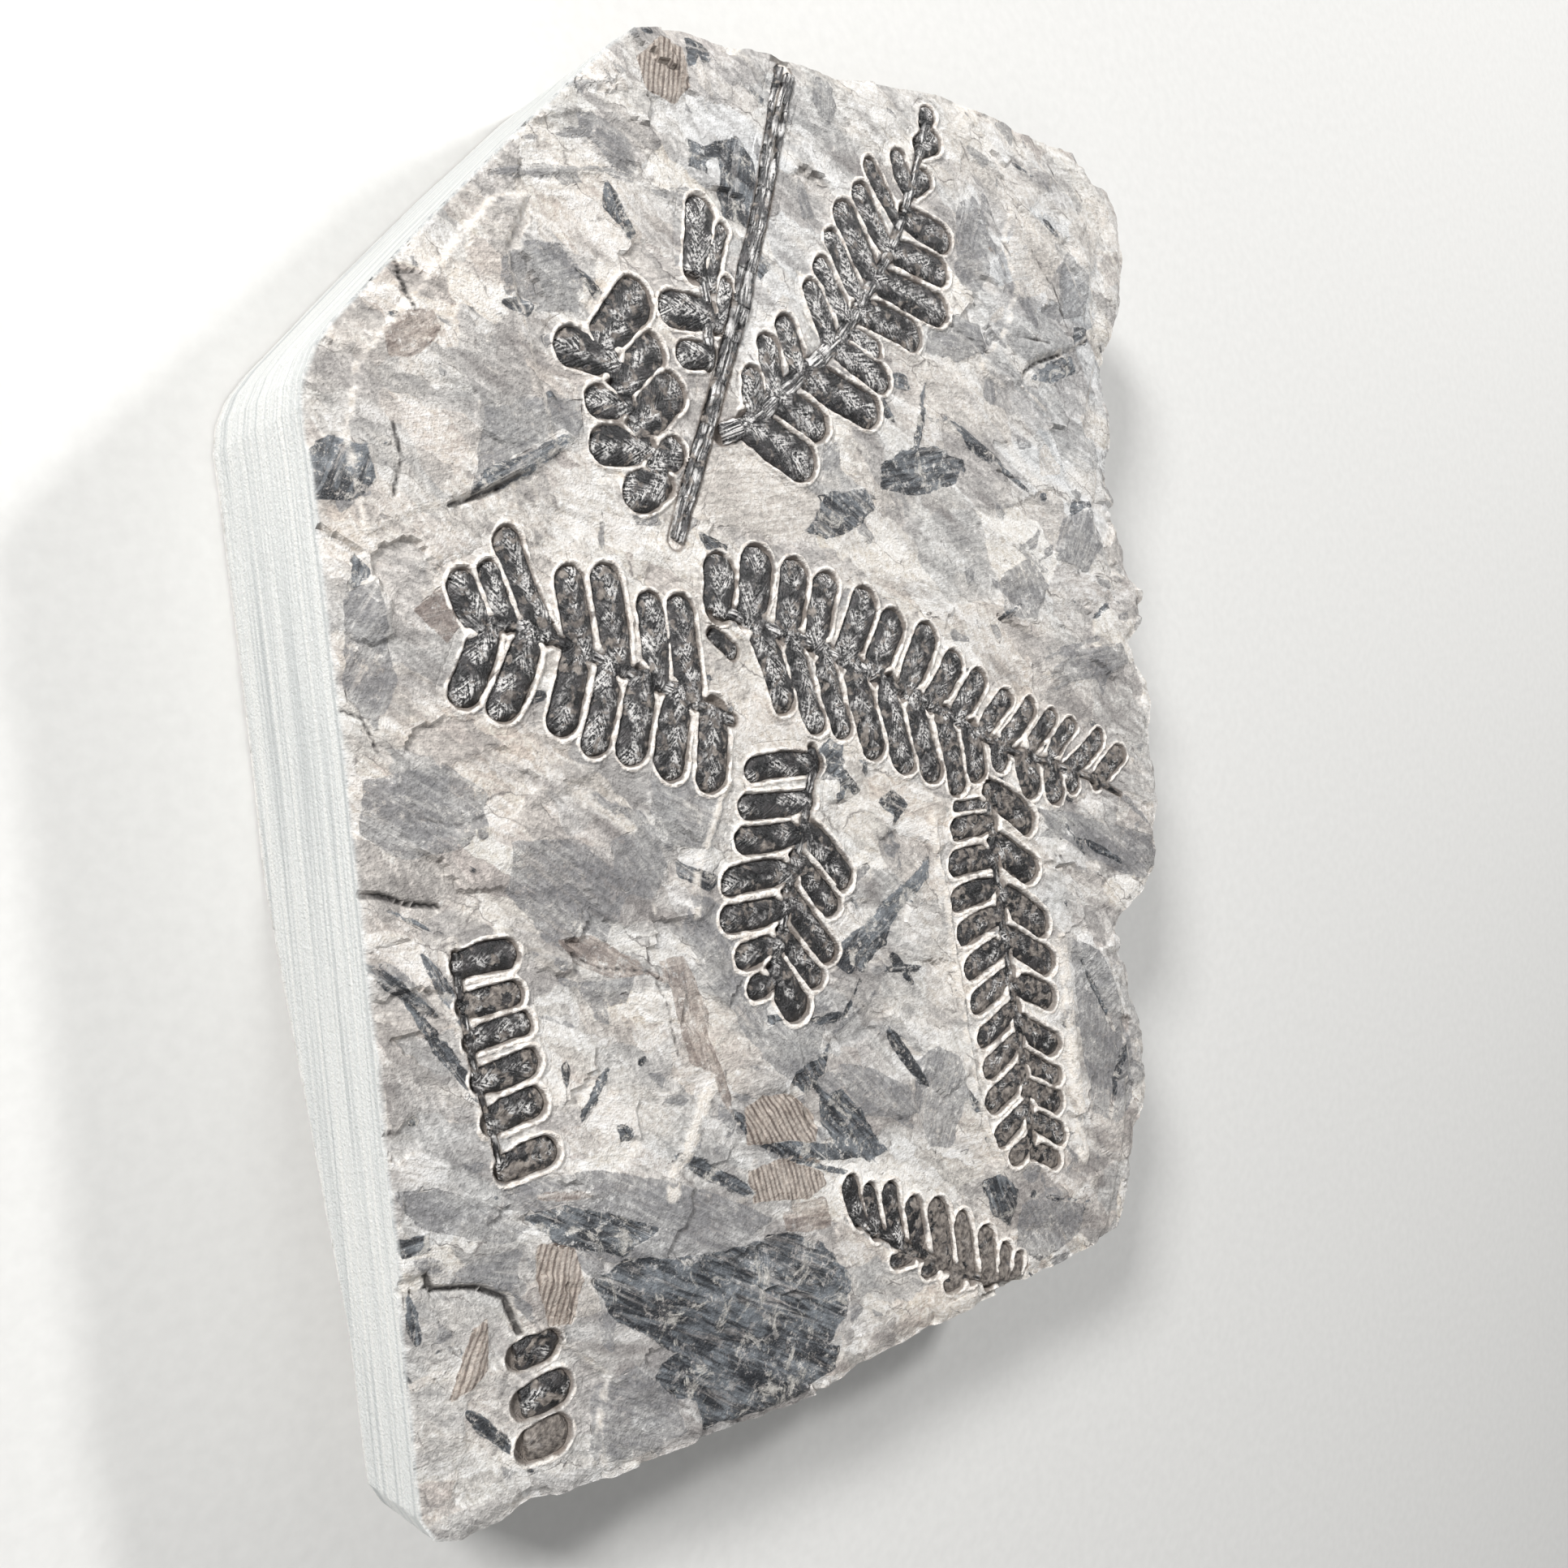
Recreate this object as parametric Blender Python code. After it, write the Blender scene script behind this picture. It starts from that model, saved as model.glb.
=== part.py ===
"""Fossil fern plate: a sawn and broken slab of pale grey shale with coalified fern fronds on its face.

The slab lies on its flat back. +Z is up out of the fern face, +Y runs along the sawn left edge towards
the top of the plate, and +X runs to the broken right edge. The origin is on the back, under the middle of
the plate. Each frond is a thin film of coal in a pocket of its own outline, with a small gap round it.
Points are in millimetres in the plane of the face and are scaled to metres by MM where they are used.
"""

import math

import bmesh
import bpy
from mathutils import Matrix, Vector

MM = 0.001

# Slab, in millimetres
FACE = 28.0  # height of the fern face above the flat back
RAISED = 0.9  # how far the raised flakes stand above the face
LOWERED = 0.9  # how far the lowered flakes lie under it
WALL_LEVELS = (9.0, 19.0)  # heights where the broken wall changes its slope
WALL_LEAN = (3.6, 1.4, 2.6)  # how far the wall draws in at the back and at those heights
UPRIGHT = 6.0  # distance from the sawn stretch where the wall is still upright
LEAN_START = 14.0  # distance over which that lean then grows
LEAN_SWAY = 0.55  # share by which the lean varies along the wall
SWAY_TURN = (0.37, 0.23, 0.5)  # how fast it varies along X, Y and Z, in radians per millimetre
UNDERCUT_ANGLE = -20.0  # direction of the line where the back starts to rise, in degrees from +X
UNDERCUT_START = (-76.0, -15.0)  # point where that line meets the sawn left edge
UNDERCUT_PROFILE = ((0, -6), (0, 0), (52, 12.2), (95, 14.2), (95, -6))
BAND_RADIUS = 0.9  # half-width of the raised bands beside the lower right frond
BAND_FLATNESS = 0.7  # height of a band against its width
FLAKE_ROOT = 1.0  # how deep a raised flake is rooted in the slab
CHIP_REACH = 0.31  # how far an edge chip cuts in, against its size across
CHIP_TILT = 0.4  # how much an edge chip is tipped, against its turn
CUTTER_TOP = 3.0  # how far a pocket or lowered flat is cut above the face

# Mesh
WELD = 0.005  # corners closer than this are one, in millimetres
FLAT = 0.3  # neighbouring faces within this angle are one face, in degrees

# Main stem, in millimetres
STEM_RADIUS = 1.5  # half-width of the stem
STEM_FLATNESS = 0.6  # height of the stem against its width
STEM_POCKET_FLATNESS = 0.7  # the same of the pocket that it lies in

# Coal films, in millimetres
GAP = 0.3  # clearance between a film and its pocket
FILM_DEPTH = 0.9  # how far a film reaches under the face
FILM_RISE = 0.4  # how far its crest stands above the face
CREST_SHARE = 0.62  # size of a pinnule's crest against its outline
TIP_LENGTH = 0.32  # length of a pinnule's blunt end against its width
ROOT = 0.5  # how far a pinnule's foot passes the middle of its rachis
LEAFLET_SINK = 0.9  # the three single leaflets lie in the lowered corner

# Outline of the face. The sawn stretch starts at the bottom left corner and ends at the top of the cut.
SAWN = [(-76, -88), (-76, -40), (-76, -2), (-76.6, 34), (-76.8, 39), (-76.2, 42.5), (-74.6, 45.8),
        (-72, 49), (-60, 61), (-45, 75.4), (-30, 89)]
BROKEN = [(-26, 91.8), (-21, 93.2), (-16, 93.6), (-11, 93), (-5, 93.6), (0, 94), (5, 93.2), (11, 93),
          (18, 94.1), (32, 94.7), (41, 94.3), (48, 93.4), (51, 92.4), (60, 92.4), (66, 91.9), (66.8, 90),
          (69.5, 89.5), (70.8, 87.3), (73, 87.2), (75.8, 84.8), (76.8, 82), (77.2, 75), (76, 68),
          (73.5, 63), (70, 58), (68.7, 55), (68.7, 50.5), (70, 47), (69.8, 42), (67.3, 39.3),
          (66.7, 36), (69, 32.5), (67, 29.7), (69.3, 27), (71, 24), (71.7, 20), (73.5, 16.5), (73, 12),
          (70.5, 9.5), (68.5, 8), (70.5, 4.5), (73.3, 1), (74.2, -3), (72.5, -7), (72.3, -10),
          (73.5, -15), (73.2, -20), (71.5, -25), (71, -31), (69, -33.5), (64, -36), (60, -38.5),
          (58.7, -41), (60, -45), (61.5, -49), (62.5, -54), (64.3, -58), (64.3, -64), (64.8, -69),
          (63.5, -72.5), (60.3, -74), (58.8, -78), (57.8, -83), (56, -87.5), (53, -90.5), (47, -91.3),
          (38, -91.7), (28, -91.9), (20, -92.3), (5, -92.5), (-8, -93), (-16, -94.3), (-24, -94),
          (-35, -93.3), (-50, -93), (-58, -92.2), (-61, -91.6), (-66, -92.5), (-71, -92.3), (-74.5, -91)]

# Flakes of the bedding plane that stand above or lie under the face
UPPER_LEFT_FLAKE = [(-71, 25), (-63, 28), (-57, 29.5), (-50, 32.6), (-44.5, 35.5), (-46, 44), (-47.5, 52),
                    (-49, 60), (-45, 67), (-50, 66), (-60, 55), (-70, 44), (-72, 36)]
UPPER_RIGHT_FLAKE = [(36, 52.6), (41, 50), (44.5, 50.8), (47, 54), (53, 56.3), (59, 57.6), (63.6, 60.5),
                     (63, 66), (60, 71), (56, 74.8), (51, 76), (46, 79), (44, 73), (46, 66), (43, 60)]
LOWER_LEFT_FLAT = [(-80, -60), (-72.5, -60), (-72, -62), (-66, -63.6), (-62.3, -65.8), (-60.8, -71),
                   (-56, -73.6), (-50, -79.5), (-52, -87), (-50, -97), (-80, -97)]
RIGHT_RIM = [(53, 99), (55, 88), (63, 84), (67, 77), (66, 66), (66.5, 58), (63.5, 51), (61, 45), (63, 37),
             (61, 29), (66, 20), (84, 16), (84, 99)]
LOWER_RIGHT_RIM = [(55, -44), (57.5, -54), (59, -64), (56, -74), (52, -84), (44, -97), (70, -97), (74, -44)]
LEFT_BAND = [(16, -17), (16.2, -22), (17.6, -29), (18, -36), (18.8, -44), (19.4, -52), (20.4, -60),
             (22.4, -67.5), (25, -72.5)]
RIGHT_BAND = [(43.2, -40), (43.6, -46), (43.4, -54), (43.6, -62), (44, -70), (44.6, -76)]

# Chips out of the back edges of the broken walls: place on the outline, size across, size down, height
EDGE_CHIPS = [((-20, 93), 30, 13, 1), ((14, 93), 26, 10, 2), ((45, 93), 30, 15, 0), ((72, 86), 17, 12, 2),
              ((71, 59), 22, 14, 1), ((66, 33), 14, 13, 0), ((69, 8), 18, 12, 1), ((72, -14), 24, 12, 0),
              ((62, -38), 16, 12, 2), ((62, -62), 24, 13, 1), ((56, -86), 17, 12, 5), ((24, -92), 28, 11, 9),
              ((-20, -94), 26, 9, 12), ((-50, -93), 22, 7, 13)]

# Fronds: the line of the rachis with its half-width at both ends, then each pinnule from its foot to its
# tip, with its width
MAIN_STEM = [(0.2, 91.5), (-2, 86), (-4, 80), (-5.8, 74), (-8, 68), (-10.6, 62), (-12.2, 57), (-14.6, 52),
             (-17.2, 46), (-19.8, 40), (-22.3, 35), (-24.8, 30), (-27, 24.5)]

UPPER_LEFT_PINNA = {
    "rachis": [(-27.6, 31.5), (-29.5, 35), (-31.8, 40), (-34, 45), (-36, 50)],
    "half_width": (0.75, 0.6),
    "pinnules": [((-29, 32), (-34.4, 29.6), 4.6), ((-31, 36.6), (-39.2, 36.4), 4.3),
                 ((-33, 42), (-39.4, 42.1), 3.4), ((-34.6, 47.4), (-43.2, 49), 4.2),
                 ((-35.6, 50), (-28.6, 58), 5.2), ((-33.6, 44.4), (-27, 51), 4.7),
                 ((-31.2, 39.4), (-24, 45.8), 5.4), ((-29.4, 34.4), (-24.5, 37.3), 3.4)],
}
UPPER_MIDDLE_PINNA = {
    "rachis": [(-18.6, 48), (-18.3, 52), (-18, 56), (-18.4, 59.5), (-19.4, 62)],
    "half_width": (0.8, 0.6),
    "pinnules": [((-18.6, 49.6), (-24, 49.5), 3.4), ((-18.4, 55.2), (-26.3, 55.6), 4.5),
                 ((-19.6, 61), (-17.7, 71.2), 4.5), ((-17.4, 59), (-14.3, 68), 2.4),
                 ((-16.8, 53.6), (-14.4, 60.6), 2.2)],
}
UPPER_RIGHT_PINNA = {
    "rachis": [(-17.5, 39), (-14, 40.2), (-10, 42.6), (-6, 45.6), (-2, 48.6), (2, 51.2), (6, 54.2), (9, 57.4),
               (12, 61.2), (15, 64.8), (18, 68.4), (20, 71.8), (22, 75.2), (24, 79.2), (26, 84), (28, 89)],
    "half_width": (1.5, 0.5),
    "pinnules": [((-11.6, 43), (-11.2, 48.8), 3.8), ((-7.6, 45.4), (-8.2, 53.6), 3.6),
                 ((-2.6, 49), (-4.8, 56.6), 3.4), ((4, 53.6), (0.8, 62.2), 3.6),
                 ((8, 57), (3, 65.7), 3.4), ((10.6, 60.4), (5.6, 70), 3), ((13.8, 64.2), (8.4, 74.6), 4.4),
                 ((17.6, 68.6), (12.2, 77.8), 3.4), ((20.2, 73.4), (14.6, 81.8), 2.2),
                 ((23, 78.6), (20.8, 84.2), 3), ((-12, 40.4), (-1.2, 34.8), 6),
                 ((-6.6, 44.4), (1.8, 40.4), 4.9), ((-1, 48.6), (12.5, 43.2), 5.1),
                 ((5.4, 53), (15.2, 48), 4), ((8.2, 55.4), (14, 52.6), 2.5), ((10.6, 58.8), (23, 55.4), 4.5),
                 ((14.6, 63.8), (29.4, 60.2), 4.9), ((18.4, 68.6), (30.2, 66), 4.2),
                 ((21.8, 74.2), (31.5, 71.3), 4.2), ((24, 78.6), (28, 81.4), 3),
                 ((26.6, 85.6), (31, 87.4), 3.6), ((28, 89), (29.6, 92), 2.6)],
}
LEFT_FROND = {
    "rachis": [(-57.5, 14.2), (-54, 14), (-50, 13.2), (-46, 11.4), (-42, 9.8), (-38, 8), (-34, 6.4),
               (-30, 4.9), (-26, 2.8), (-22, 0.8), (-20.4, 0.2)],
    "half_width": (0.6, 0.9),
    "pinnules": [((-57.4, 14), (-59.8, 20.7), 4), ((-53.8, 14.4), (-55.8, 21.8), 3.4),
                 ((-48.6, 12.8), (-53, 25.9), 3.5), ((-43.4, 10.6), (-44.2, 21.3), 4),
                 ((-38, 8.4), (-39.1, 21.4), 4.2), ((-32.2, 6.2), (-32.6, 17.8), 4),
                 ((-27, 3.6), (-27.6, 17.4), 4.4), ((-56.4, 13.8), (-61.4, 4.5), 4),
                 ((-50.6, 13), (-56.6, 2.6), 4.1), ((-44.2, 10.4), (-48, 0), 4.1),
                 ((-39.6, 8.4), (-43.6, -2.8), 3.7), ((-34.6, 6.4), (-38, -4.4), 4.6),
                 ((-28.8, 4), (-31.8, -7), 4.7), ((-23.8, 1.6), (-25.6, -9.2), 4.7)],
}
RIGHT_FROND = {
    "rachis": [(-21.5, 15.4), (-18, 14.4), (-14, 13), (-10, 11.6), (-6, 10.4), (-2, 9), (2, 7.4), (6, 5.6),
               (10, 3.6), (14, 1.8), (18, 0.1), (22, -1.7), (26, -3.9), (30, -6), (34, -7.8), (38, -9.1),
               (42, -10.3), (46, -11.6), (50, -12.8), (54, -14.1), (58, -15.8), (62, -17.8)],
    "half_width": (0.9, 0.45),
    "pinnules": [((-21, 15.6), (-20.2, 22.9), 5), ((-15.6, 14.2), (-12.9, 24), 5.4),
                 ((-9.4, 11.6), (-6.4, 22.2), 4.6), ((-4, 10), (-0.2, 20.2), 4.4),
                 ((1.2, 8), (7, 17.8), 4.9), ((6.6, 5.6), (12.7, 14.3), 4.9),
                 ((12.8, 2.6), (19.4, 12.2), 4.6), ((18, 0.4), (25, 7.7), 4),
                 ((23.4, -2.2), (30.2, 4.5), 3.8), ((28.8, -5), (36.4, 0.9), 3),
                 ((33.4, -7), (41.6, -0.6), 3), ((38.8, -9), (46.8, -2.8), 2.7),
                 ((44, -10.8), (51.6, -4.6), 2.6), ((49, -12.4), (58.4, -7), 3),
                 ((56, -15), (64, -10.2), 3.2),
                 ((-14.6, 12.8), (-10.6, 0.6), 4.2), ((-8.6, 11), (-4.8, -2.7), 3.7),
                 ((-2.8, 9), (-0.1, -3.8), 3.7), ((2.4, 7), (6, -7.2), 4.6), ((9, 3.8), (12.3, -9.9), 4.5),
                 ((14.6, 1.2), (17.8, -11.7), 4.2), ((20.4, -1.4), (22.4, -14.2), 3.9),
                 ((26, -4.4), (26.8, -12.6), 4.4), ((32.2, -7.2), (33, -11.4), 3.4),
                 ((38.2, -9.4), (39.8, -16.3), 4.9), ((44.6, -11.4), (45.2, -17.8), 4.2),
                 ((49.4, -13), (49.8, -16.4), 3)],
}
CENTRE_FROND = {
    "rachis": [(-6.6, -4.6), (-6.4, -7), (-8, -11), (-9.4, -15.4), (-11.4, -19.6), (-12.8, -22.6),
               (-14, -26), (-15.2, -29.4), (-16.6, -33), (-17.4, -36)],
    "half_width": (0.8, 0.7),
    "pinnules": [((-6.6, -6.9), (-19, -7), 3.1), ((-8.6, -12), (-20.8, -11.6), 3.2),
                 ((-10, -16), (-22, -16.1), 3.5), ((-12.4, -21.6), (-25, -21.8), 3.6),
                 ((-14.4, -26.2), (-25.8, -26.4), 3.5), ((-15.8, -31), (-24, -31.9), 3.3),
                 ((-17.2, -35.8), (-22.2, -36.7), 3.1), ((-9.6, -15.6), (-2.2, -25.1), 3.8),
                 ((-11.6, -20), (-4.8, -28.3), 3.6), ((-13.4, -24.6), (-6.2, -34.9), 3.8),
                 ((-15.4, -29.8), (-9, -38), 3.4), ((-17, -34.2), (-12.9, -42.1), 5)],
}
LOWER_RIGHT_FROND = {
    "rachis": [(29.6, -13), (29.2, -18), (29.3, -24), (29.6, -30), (30, -36), (30.4, -42), (31, -48),
               (31.3, -54), (31.6, -60), (32, -66), (32, -73)],
    "half_width": (0.8, 0.6),
    "pinnules": [((29.2, -15.9), (20.8, -16), 1.5), ((29, -19.3), (19.8, -19.5), 3.5),
                 ((29.2, -24.6), (18.8, -24.9), 3.7), ((29.4, -29.6), (18.7, -30.4), 3.5),
                 ((29.8, -33.6), (19.4, -36), 3.5), ((30, -38.6), (20.3, -41.6), 3.6),
                 ((30.4, -43.6), (20.9, -47), 3.6), ((30.8, -48.8), (21.7, -52.6), 3.2),
                 ((31.2, -53.6), (22.4, -57.6), 3.4), ((31.4, -59), (22.4, -63), 3.8),
                 ((31.8, -65), (23.5, -68.7), 3.4), ((31.8, -70.6), (26.6, -72.2), 3),
                 ((29.6, -14.4), (39, -21.2), 4.5), ((29.8, -22.4), (39, -28.6), 4.6),
                 ((30, -30.6), (40.2, -38.2), 4.5), ((30.6, -37.6), (41, -44.2), 4.3),
                 ((31.2, -45.2), (40.6, -49.6), 3.8), ((31.8, -51.4), (40.8, -57), 3.6),
                 ((32, -57), (40.4, -62.4), 3.1), ((32, -61.9), (40, -66.8), 3.6),
                 ((32.2, -67), (40.2, -72.2), 3.1), ((32.4, -72), (38.4, -75.6), 2.6)],
}
HALF_FROND = {
    "rachis": [(-64.2, -24.6), (-64.2, -28), (-63.8, -34), (-63, -40), (-62, -45), (-60.9, -51)],
    "half_width": (0.6, 0.6),
    "pinnules": [((-64, -25.8), (-56.5, -25.7), 3.4), ((-64, -30.6), (-56.4, -30.4), 3.1),
                 ((-63.6, -35), (-55.5, -34.2), 2.9), ((-63, -39.8), (-55, -38.6), 3.4),
                 ((-62.2, -44.8), (-54.8, -43.8), 3.7), ((-61, -50.8), (-53.7, -50.2), 3.6)],
}
BOTTOM_FROND = {
    "rachis": [(-6.2, -71.8), (-4, -74.4), (-1, -76.4), (3, -79.2), (7, -81.8), (11, -84.4), (15.4, -87),
               (19.4, -89.2), (23.6, -90.2), (26, -90.4)],
    "half_width": (0.7, 0.5),
    "pinnules": [((-5.6, -72.6), (-7.4, -65.8), 2.8), ((-2.6, -75.2), (-3.9, -67.8), 2.7),
                 ((1.4, -78), (0.4, -68.7), 3.2), ((5.4, -80.6), (4.8, -72), 3.3),
                 ((10.6, -84), (9.4, -73.6), 3.9), ((15.4, -87), (14.4, -76.9), 3.5),
                 ((19.8, -89.2), (19.3, -80.6), 3.4), ((23.4, -90), (23.5, -84.4), 3),
                 ((26, -90.4), (26.8, -86.8), 2.3), ((5, -80.4), (-0.6, -80.2), 2.5),
                 ((10, -83.6), (5.2, -83), 2.6), ((14.6, -86.6), (9.6, -86.8), 2.8)],
}
LOOSE_LEAFLET = ((-22.4, 12), (-18.6, 8.7), 1.9)
LEAFLETS = {
    "leaflet_upper": ((-62, -74.2), (-56, -73.8), 4),
    "leaflet_middle": ((-61.6, -79.6), (-54.4, -79.2), 4.6),
    "leaflet_lower": ((-61.8, -85), (-55.4, -84.6), 5),
}

FRONDS = {
    "upper_left_pinna": UPPER_LEFT_PINNA,
    "upper_middle_pinna": UPPER_MIDDLE_PINNA,
    "upper_right_pinna": UPPER_RIGHT_PINNA,
    "left_frond": LEFT_FROND,
    "right_frond": RIGHT_FROND,
    "centre_frond": CENTRE_FROND,
    "lower_right_frond": LOWER_RIGHT_FROND,
    "half_frond": HALF_FROND,
    "bottom_frond": BOTTOM_FROND,
}


def clear_scene():
    """Removes every object that is in the scene."""
    for thing in list(bpy.data.objects):
        bpy.data.objects.remove(thing, do_unlink=True)


def new_collection(name):
    """Returns a new collection of the scene."""
    collection = bpy.data.collections.new(name)
    bpy.context.scene.collection.children.link(collection)
    return collection


def matt_material(name, colour, roughness):
    """Returns a Principled material of one colour."""
    material = bpy.data.materials.new(name)
    material.use_nodes = True
    shader = material.node_tree.nodes["Principled BSDF"]
    shader.inputs["Base Color"].default_value = (*colour, 1.0)
    shader.inputs["Roughness"].default_value = roughness
    return material


def keep(name, mesh, collection, material=None):
    """Makes an object of the mesh; without a material it is a helper that isn't rendered."""
    thing = bpy.data.objects.new(name, mesh)
    collection.objects.link(thing)
    if material:
        mesh.materials.clear()
        mesh.materials.append(material)
    else:
        thing.hide_render = True
        thing.display_type = "WIRE"
    return thing


def mesh_of(thing):
    """Returns the object's mesh with its modifiers, welded and with flat faces merged; removes the object."""
    bpy.context.view_layer.update()
    graph = bpy.context.evaluated_depsgraph_get()
    mesh = bpy.data.meshes.new_from_object(thing.evaluated_get(graph))
    mesh.transform(thing.matrix_world)
    shape = bmesh.new()
    shape.from_mesh(mesh)
    bmesh.ops.remove_doubles(shape, verts=shape.verts, dist=WELD * MM)
    bmesh.ops.dissolve_limit(shape, angle_limit=math.radians(FLAT), verts=shape.verts, edges=shape.edges)
    bmesh.ops.recalc_face_normals(shape, faces=shape.faces)
    shape.to_mesh(mesh)
    shape.free()
    bpy.data.objects.remove(thing, do_unlink=True)
    return mesh


def flat_outline(points, low, high):
    """Returns the mesh of a flat outline that is extruded from one height to another."""
    curve = bpy.data.curves.new("outline", "CURVE")
    curve.dimensions = "2D"
    curve.fill_mode = "BOTH"
    curve.extrude = (high - low) / 2 * MM
    spline = curve.splines.new("POLY")
    spline.points.add(len(points) - 1)
    spline.use_cyclic_u = True
    for point, (x, y) in zip(spline.points, points):
        point.co = (x * MM, y * MM, 0, 1)
    thing = bpy.data.objects.new("outline", curve)
    bpy.context.scene.collection.objects.link(thing)
    thing.location.z = (low + high) / 2 * MM
    return mesh_of(thing)


def rod(points, radius, flatness):
    """Returns the mesh of a four-sided rod along the points in the face, with a ridge on top."""
    curve = bpy.data.curves.new("rod", "CURVE")
    curve.dimensions = "3D"
    curve.bevel_depth = radius * MM
    curve.bevel_resolution = 0
    curve.use_fill_caps = True
    spline = curve.splines.new("POLY")
    spline.points.add(len(points) - 1)
    for point, (x, y) in zip(spline.points, points):
        point.co = (x * MM, y * MM, 0, 1)
    thing = bpy.data.objects.new("rod", curve)
    bpy.context.scene.collection.objects.link(thing)
    thing.location.z = FACE * MM
    thing.scale.z = flatness
    return mesh_of(thing)


def ribbon(points, start, end, low, high):
    """Returns the mesh of a flat strip along the points, with its half-width at both ends."""
    line = [Vector(point) for point in points]
    last = len(line) - 1
    left, right = [], []
    for place, here in enumerate(line):
        ahead = line[min(place + 1, last)] - line[max(place - 1, 0)]
        side = Vector((-ahead.y, ahead.x)).normalized() * (start + (end - start) * place / last)
        left.append(tuple(here + side))
        right.append(tuple(here - side))
    return flat_outline(left + right[::-1], low, high)


def tongue(foot, tip, width, low, high, crest):
    """Returns the mesh of one pinnule: a long hexagon with upright ends and a smaller crest face on top."""
    foot, tip = Vector(foot), Vector(tip)
    length = (tip - foot).length
    turn = Matrix.Rotation(math.atan2(tip.y - foot.y, tip.x - foot.x), 4, "Z")
    middle = (foot + tip) / 2
    place = Matrix.Translation((middle.x * MM, middle.y * MM, (low + high) / 2 * MM))
    shape = bmesh.new()
    bmesh.ops.create_cone(shape, cap_ends=True, segments=6, radius1=1, radius2=1, depth=1,
                          matrix=Matrix.Rotation(math.radians(30), 4, "Z"))
    for corner in shape.verts:
        size = 1 if corner.co.z < 0 else crest
        on_axis = abs(corner.co.y) < 0.1
        reach = length / 2 - (0 if on_axis else TIP_LENGTH * width)
        reach += -width / 2 * (1 - size) if corner.co.x > 0 else ROOT
        corner.co.x = math.copysign(reach, corner.co.x) * MM
        corner.co.y = 0 if on_axis else math.copysign(width / 2 * size, corner.co.y) * MM
        corner.co.z *= (high - low) * MM
    bmesh.ops.transform(shape, matrix=place @ turn, verts=shape.verts)
    mesh = bpy.data.meshes.new("tongue")
    shape.to_mesh(mesh)
    shape.free()
    return mesh


def unite(meshes, helpers):
    """Returns the Boolean union of the meshes as one mesh."""
    body = keep("union", meshes[0], helpers)
    others = []
    for mesh in meshes[1:]:
        other = keep("addition", mesh, helpers)
        others.append(other)
        modifier = body.modifiers.new("union", "BOOLEAN")
        modifier.operation = "UNION"
        modifier.object = other
    mesh = mesh_of(body)
    for other in others:
        bpy.data.objects.remove(other, do_unlink=True)
    return mesh


def frond_mesh(frond, grow, helpers):
    """Returns a frond as one solid. With grow it is the pocket that the frond lies in."""
    low = FACE - FILM_DEPTH - grow
    high = FACE + (CUTTER_TOP if grow else FILM_RISE)
    start, end = frond["half_width"]
    line = frond["rachis"]
    if grow:
        line = stretched(line, grow)
    pieces = [ribbon(line, start + grow, end + grow, low, high)]
    for foot, tip, width in frond["pinnules"]:
        pieces.append(pinnule(foot, tip, width, low, high, grow))
    return unite(pieces, helpers)


def stretched(line, length):
    """Returns the line, made longer at both ends by the length."""
    points = [Vector(point) for point in line]
    first = points[0] + (points[0] - points[1]).normalized() * length
    last = points[-1] + (points[-1] - points[-2]).normalized() * length
    return [tuple(first), *line[1:-1], tuple(last)]


def pinnule(foot, tip, width, low, high, grow):
    """Returns a pinnule, or with grow the straight-sided pocket round it."""
    foot, tip = stretched([foot, tip], grow) if grow else (foot, tip)
    return tongue(foot, tip, width + 2 * grow, low, high, 1.0 if grow else CREST_SHARE)


def lean_broken_wall(mesh):
    """Draws the broken wall in under the face, unevenly; the sawn stretch stays upright."""
    shape = bmesh.new()
    shape.from_mesh(mesh)
    for level in WALL_LEVELS:
        everything = [*shape.verts, *shape.edges, *shape.faces]
        bmesh.ops.bisect_plane(shape, geom=everything, plane_co=(0, 0, level * MM), plane_no=(0, 0, 1))
    for corner in shape.verts:
        x, y, z = corner.co / MM
        from_sawn = min(math.dist((x, y), point) for point in SAWN)
        if from_sawn < UPRIGHT or z > WALL_LEVELS[-1] + 1:
            continue
        lean = WALL_LEAN[0] if z < 1 else WALL_LEAN[1] if z < WALL_LEVELS[0] + 1 else WALL_LEAN[2]
        lean *= 1 + LEAN_SWAY * math.sin(sum(turn * part for turn, part in zip(SWAY_TURN, (x, y, z))))
        lean *= min(1, (from_sawn - UPRIGHT) / LEAN_START)
        inward = Vector((-x, -y, 0)).normalized()
        corner.co += inward * lean * MM
    walls = [face for face in shape.faces if len(face.verts) == 4]
    bmesh.ops.triangulate(shape, faces=walls)
    shape.to_mesh(mesh)
    shape.free()


def undercut_mesh():
    """Returns the wedge that is missing under the lower left of the back."""
    mesh = flat_outline(UNDERCUT_PROFILE, -150, 150)
    stand = Matrix.Rotation(math.radians(90), 4, "X")
    down_slope = Matrix.Rotation(math.radians(UNDERCUT_ANGLE - 90), 4, "Z")
    x, y = UNDERCUT_START
    mesh.transform(Matrix.Translation((x * MM, y * MM, 0)) @ down_slope @ stand)
    return mesh


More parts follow.
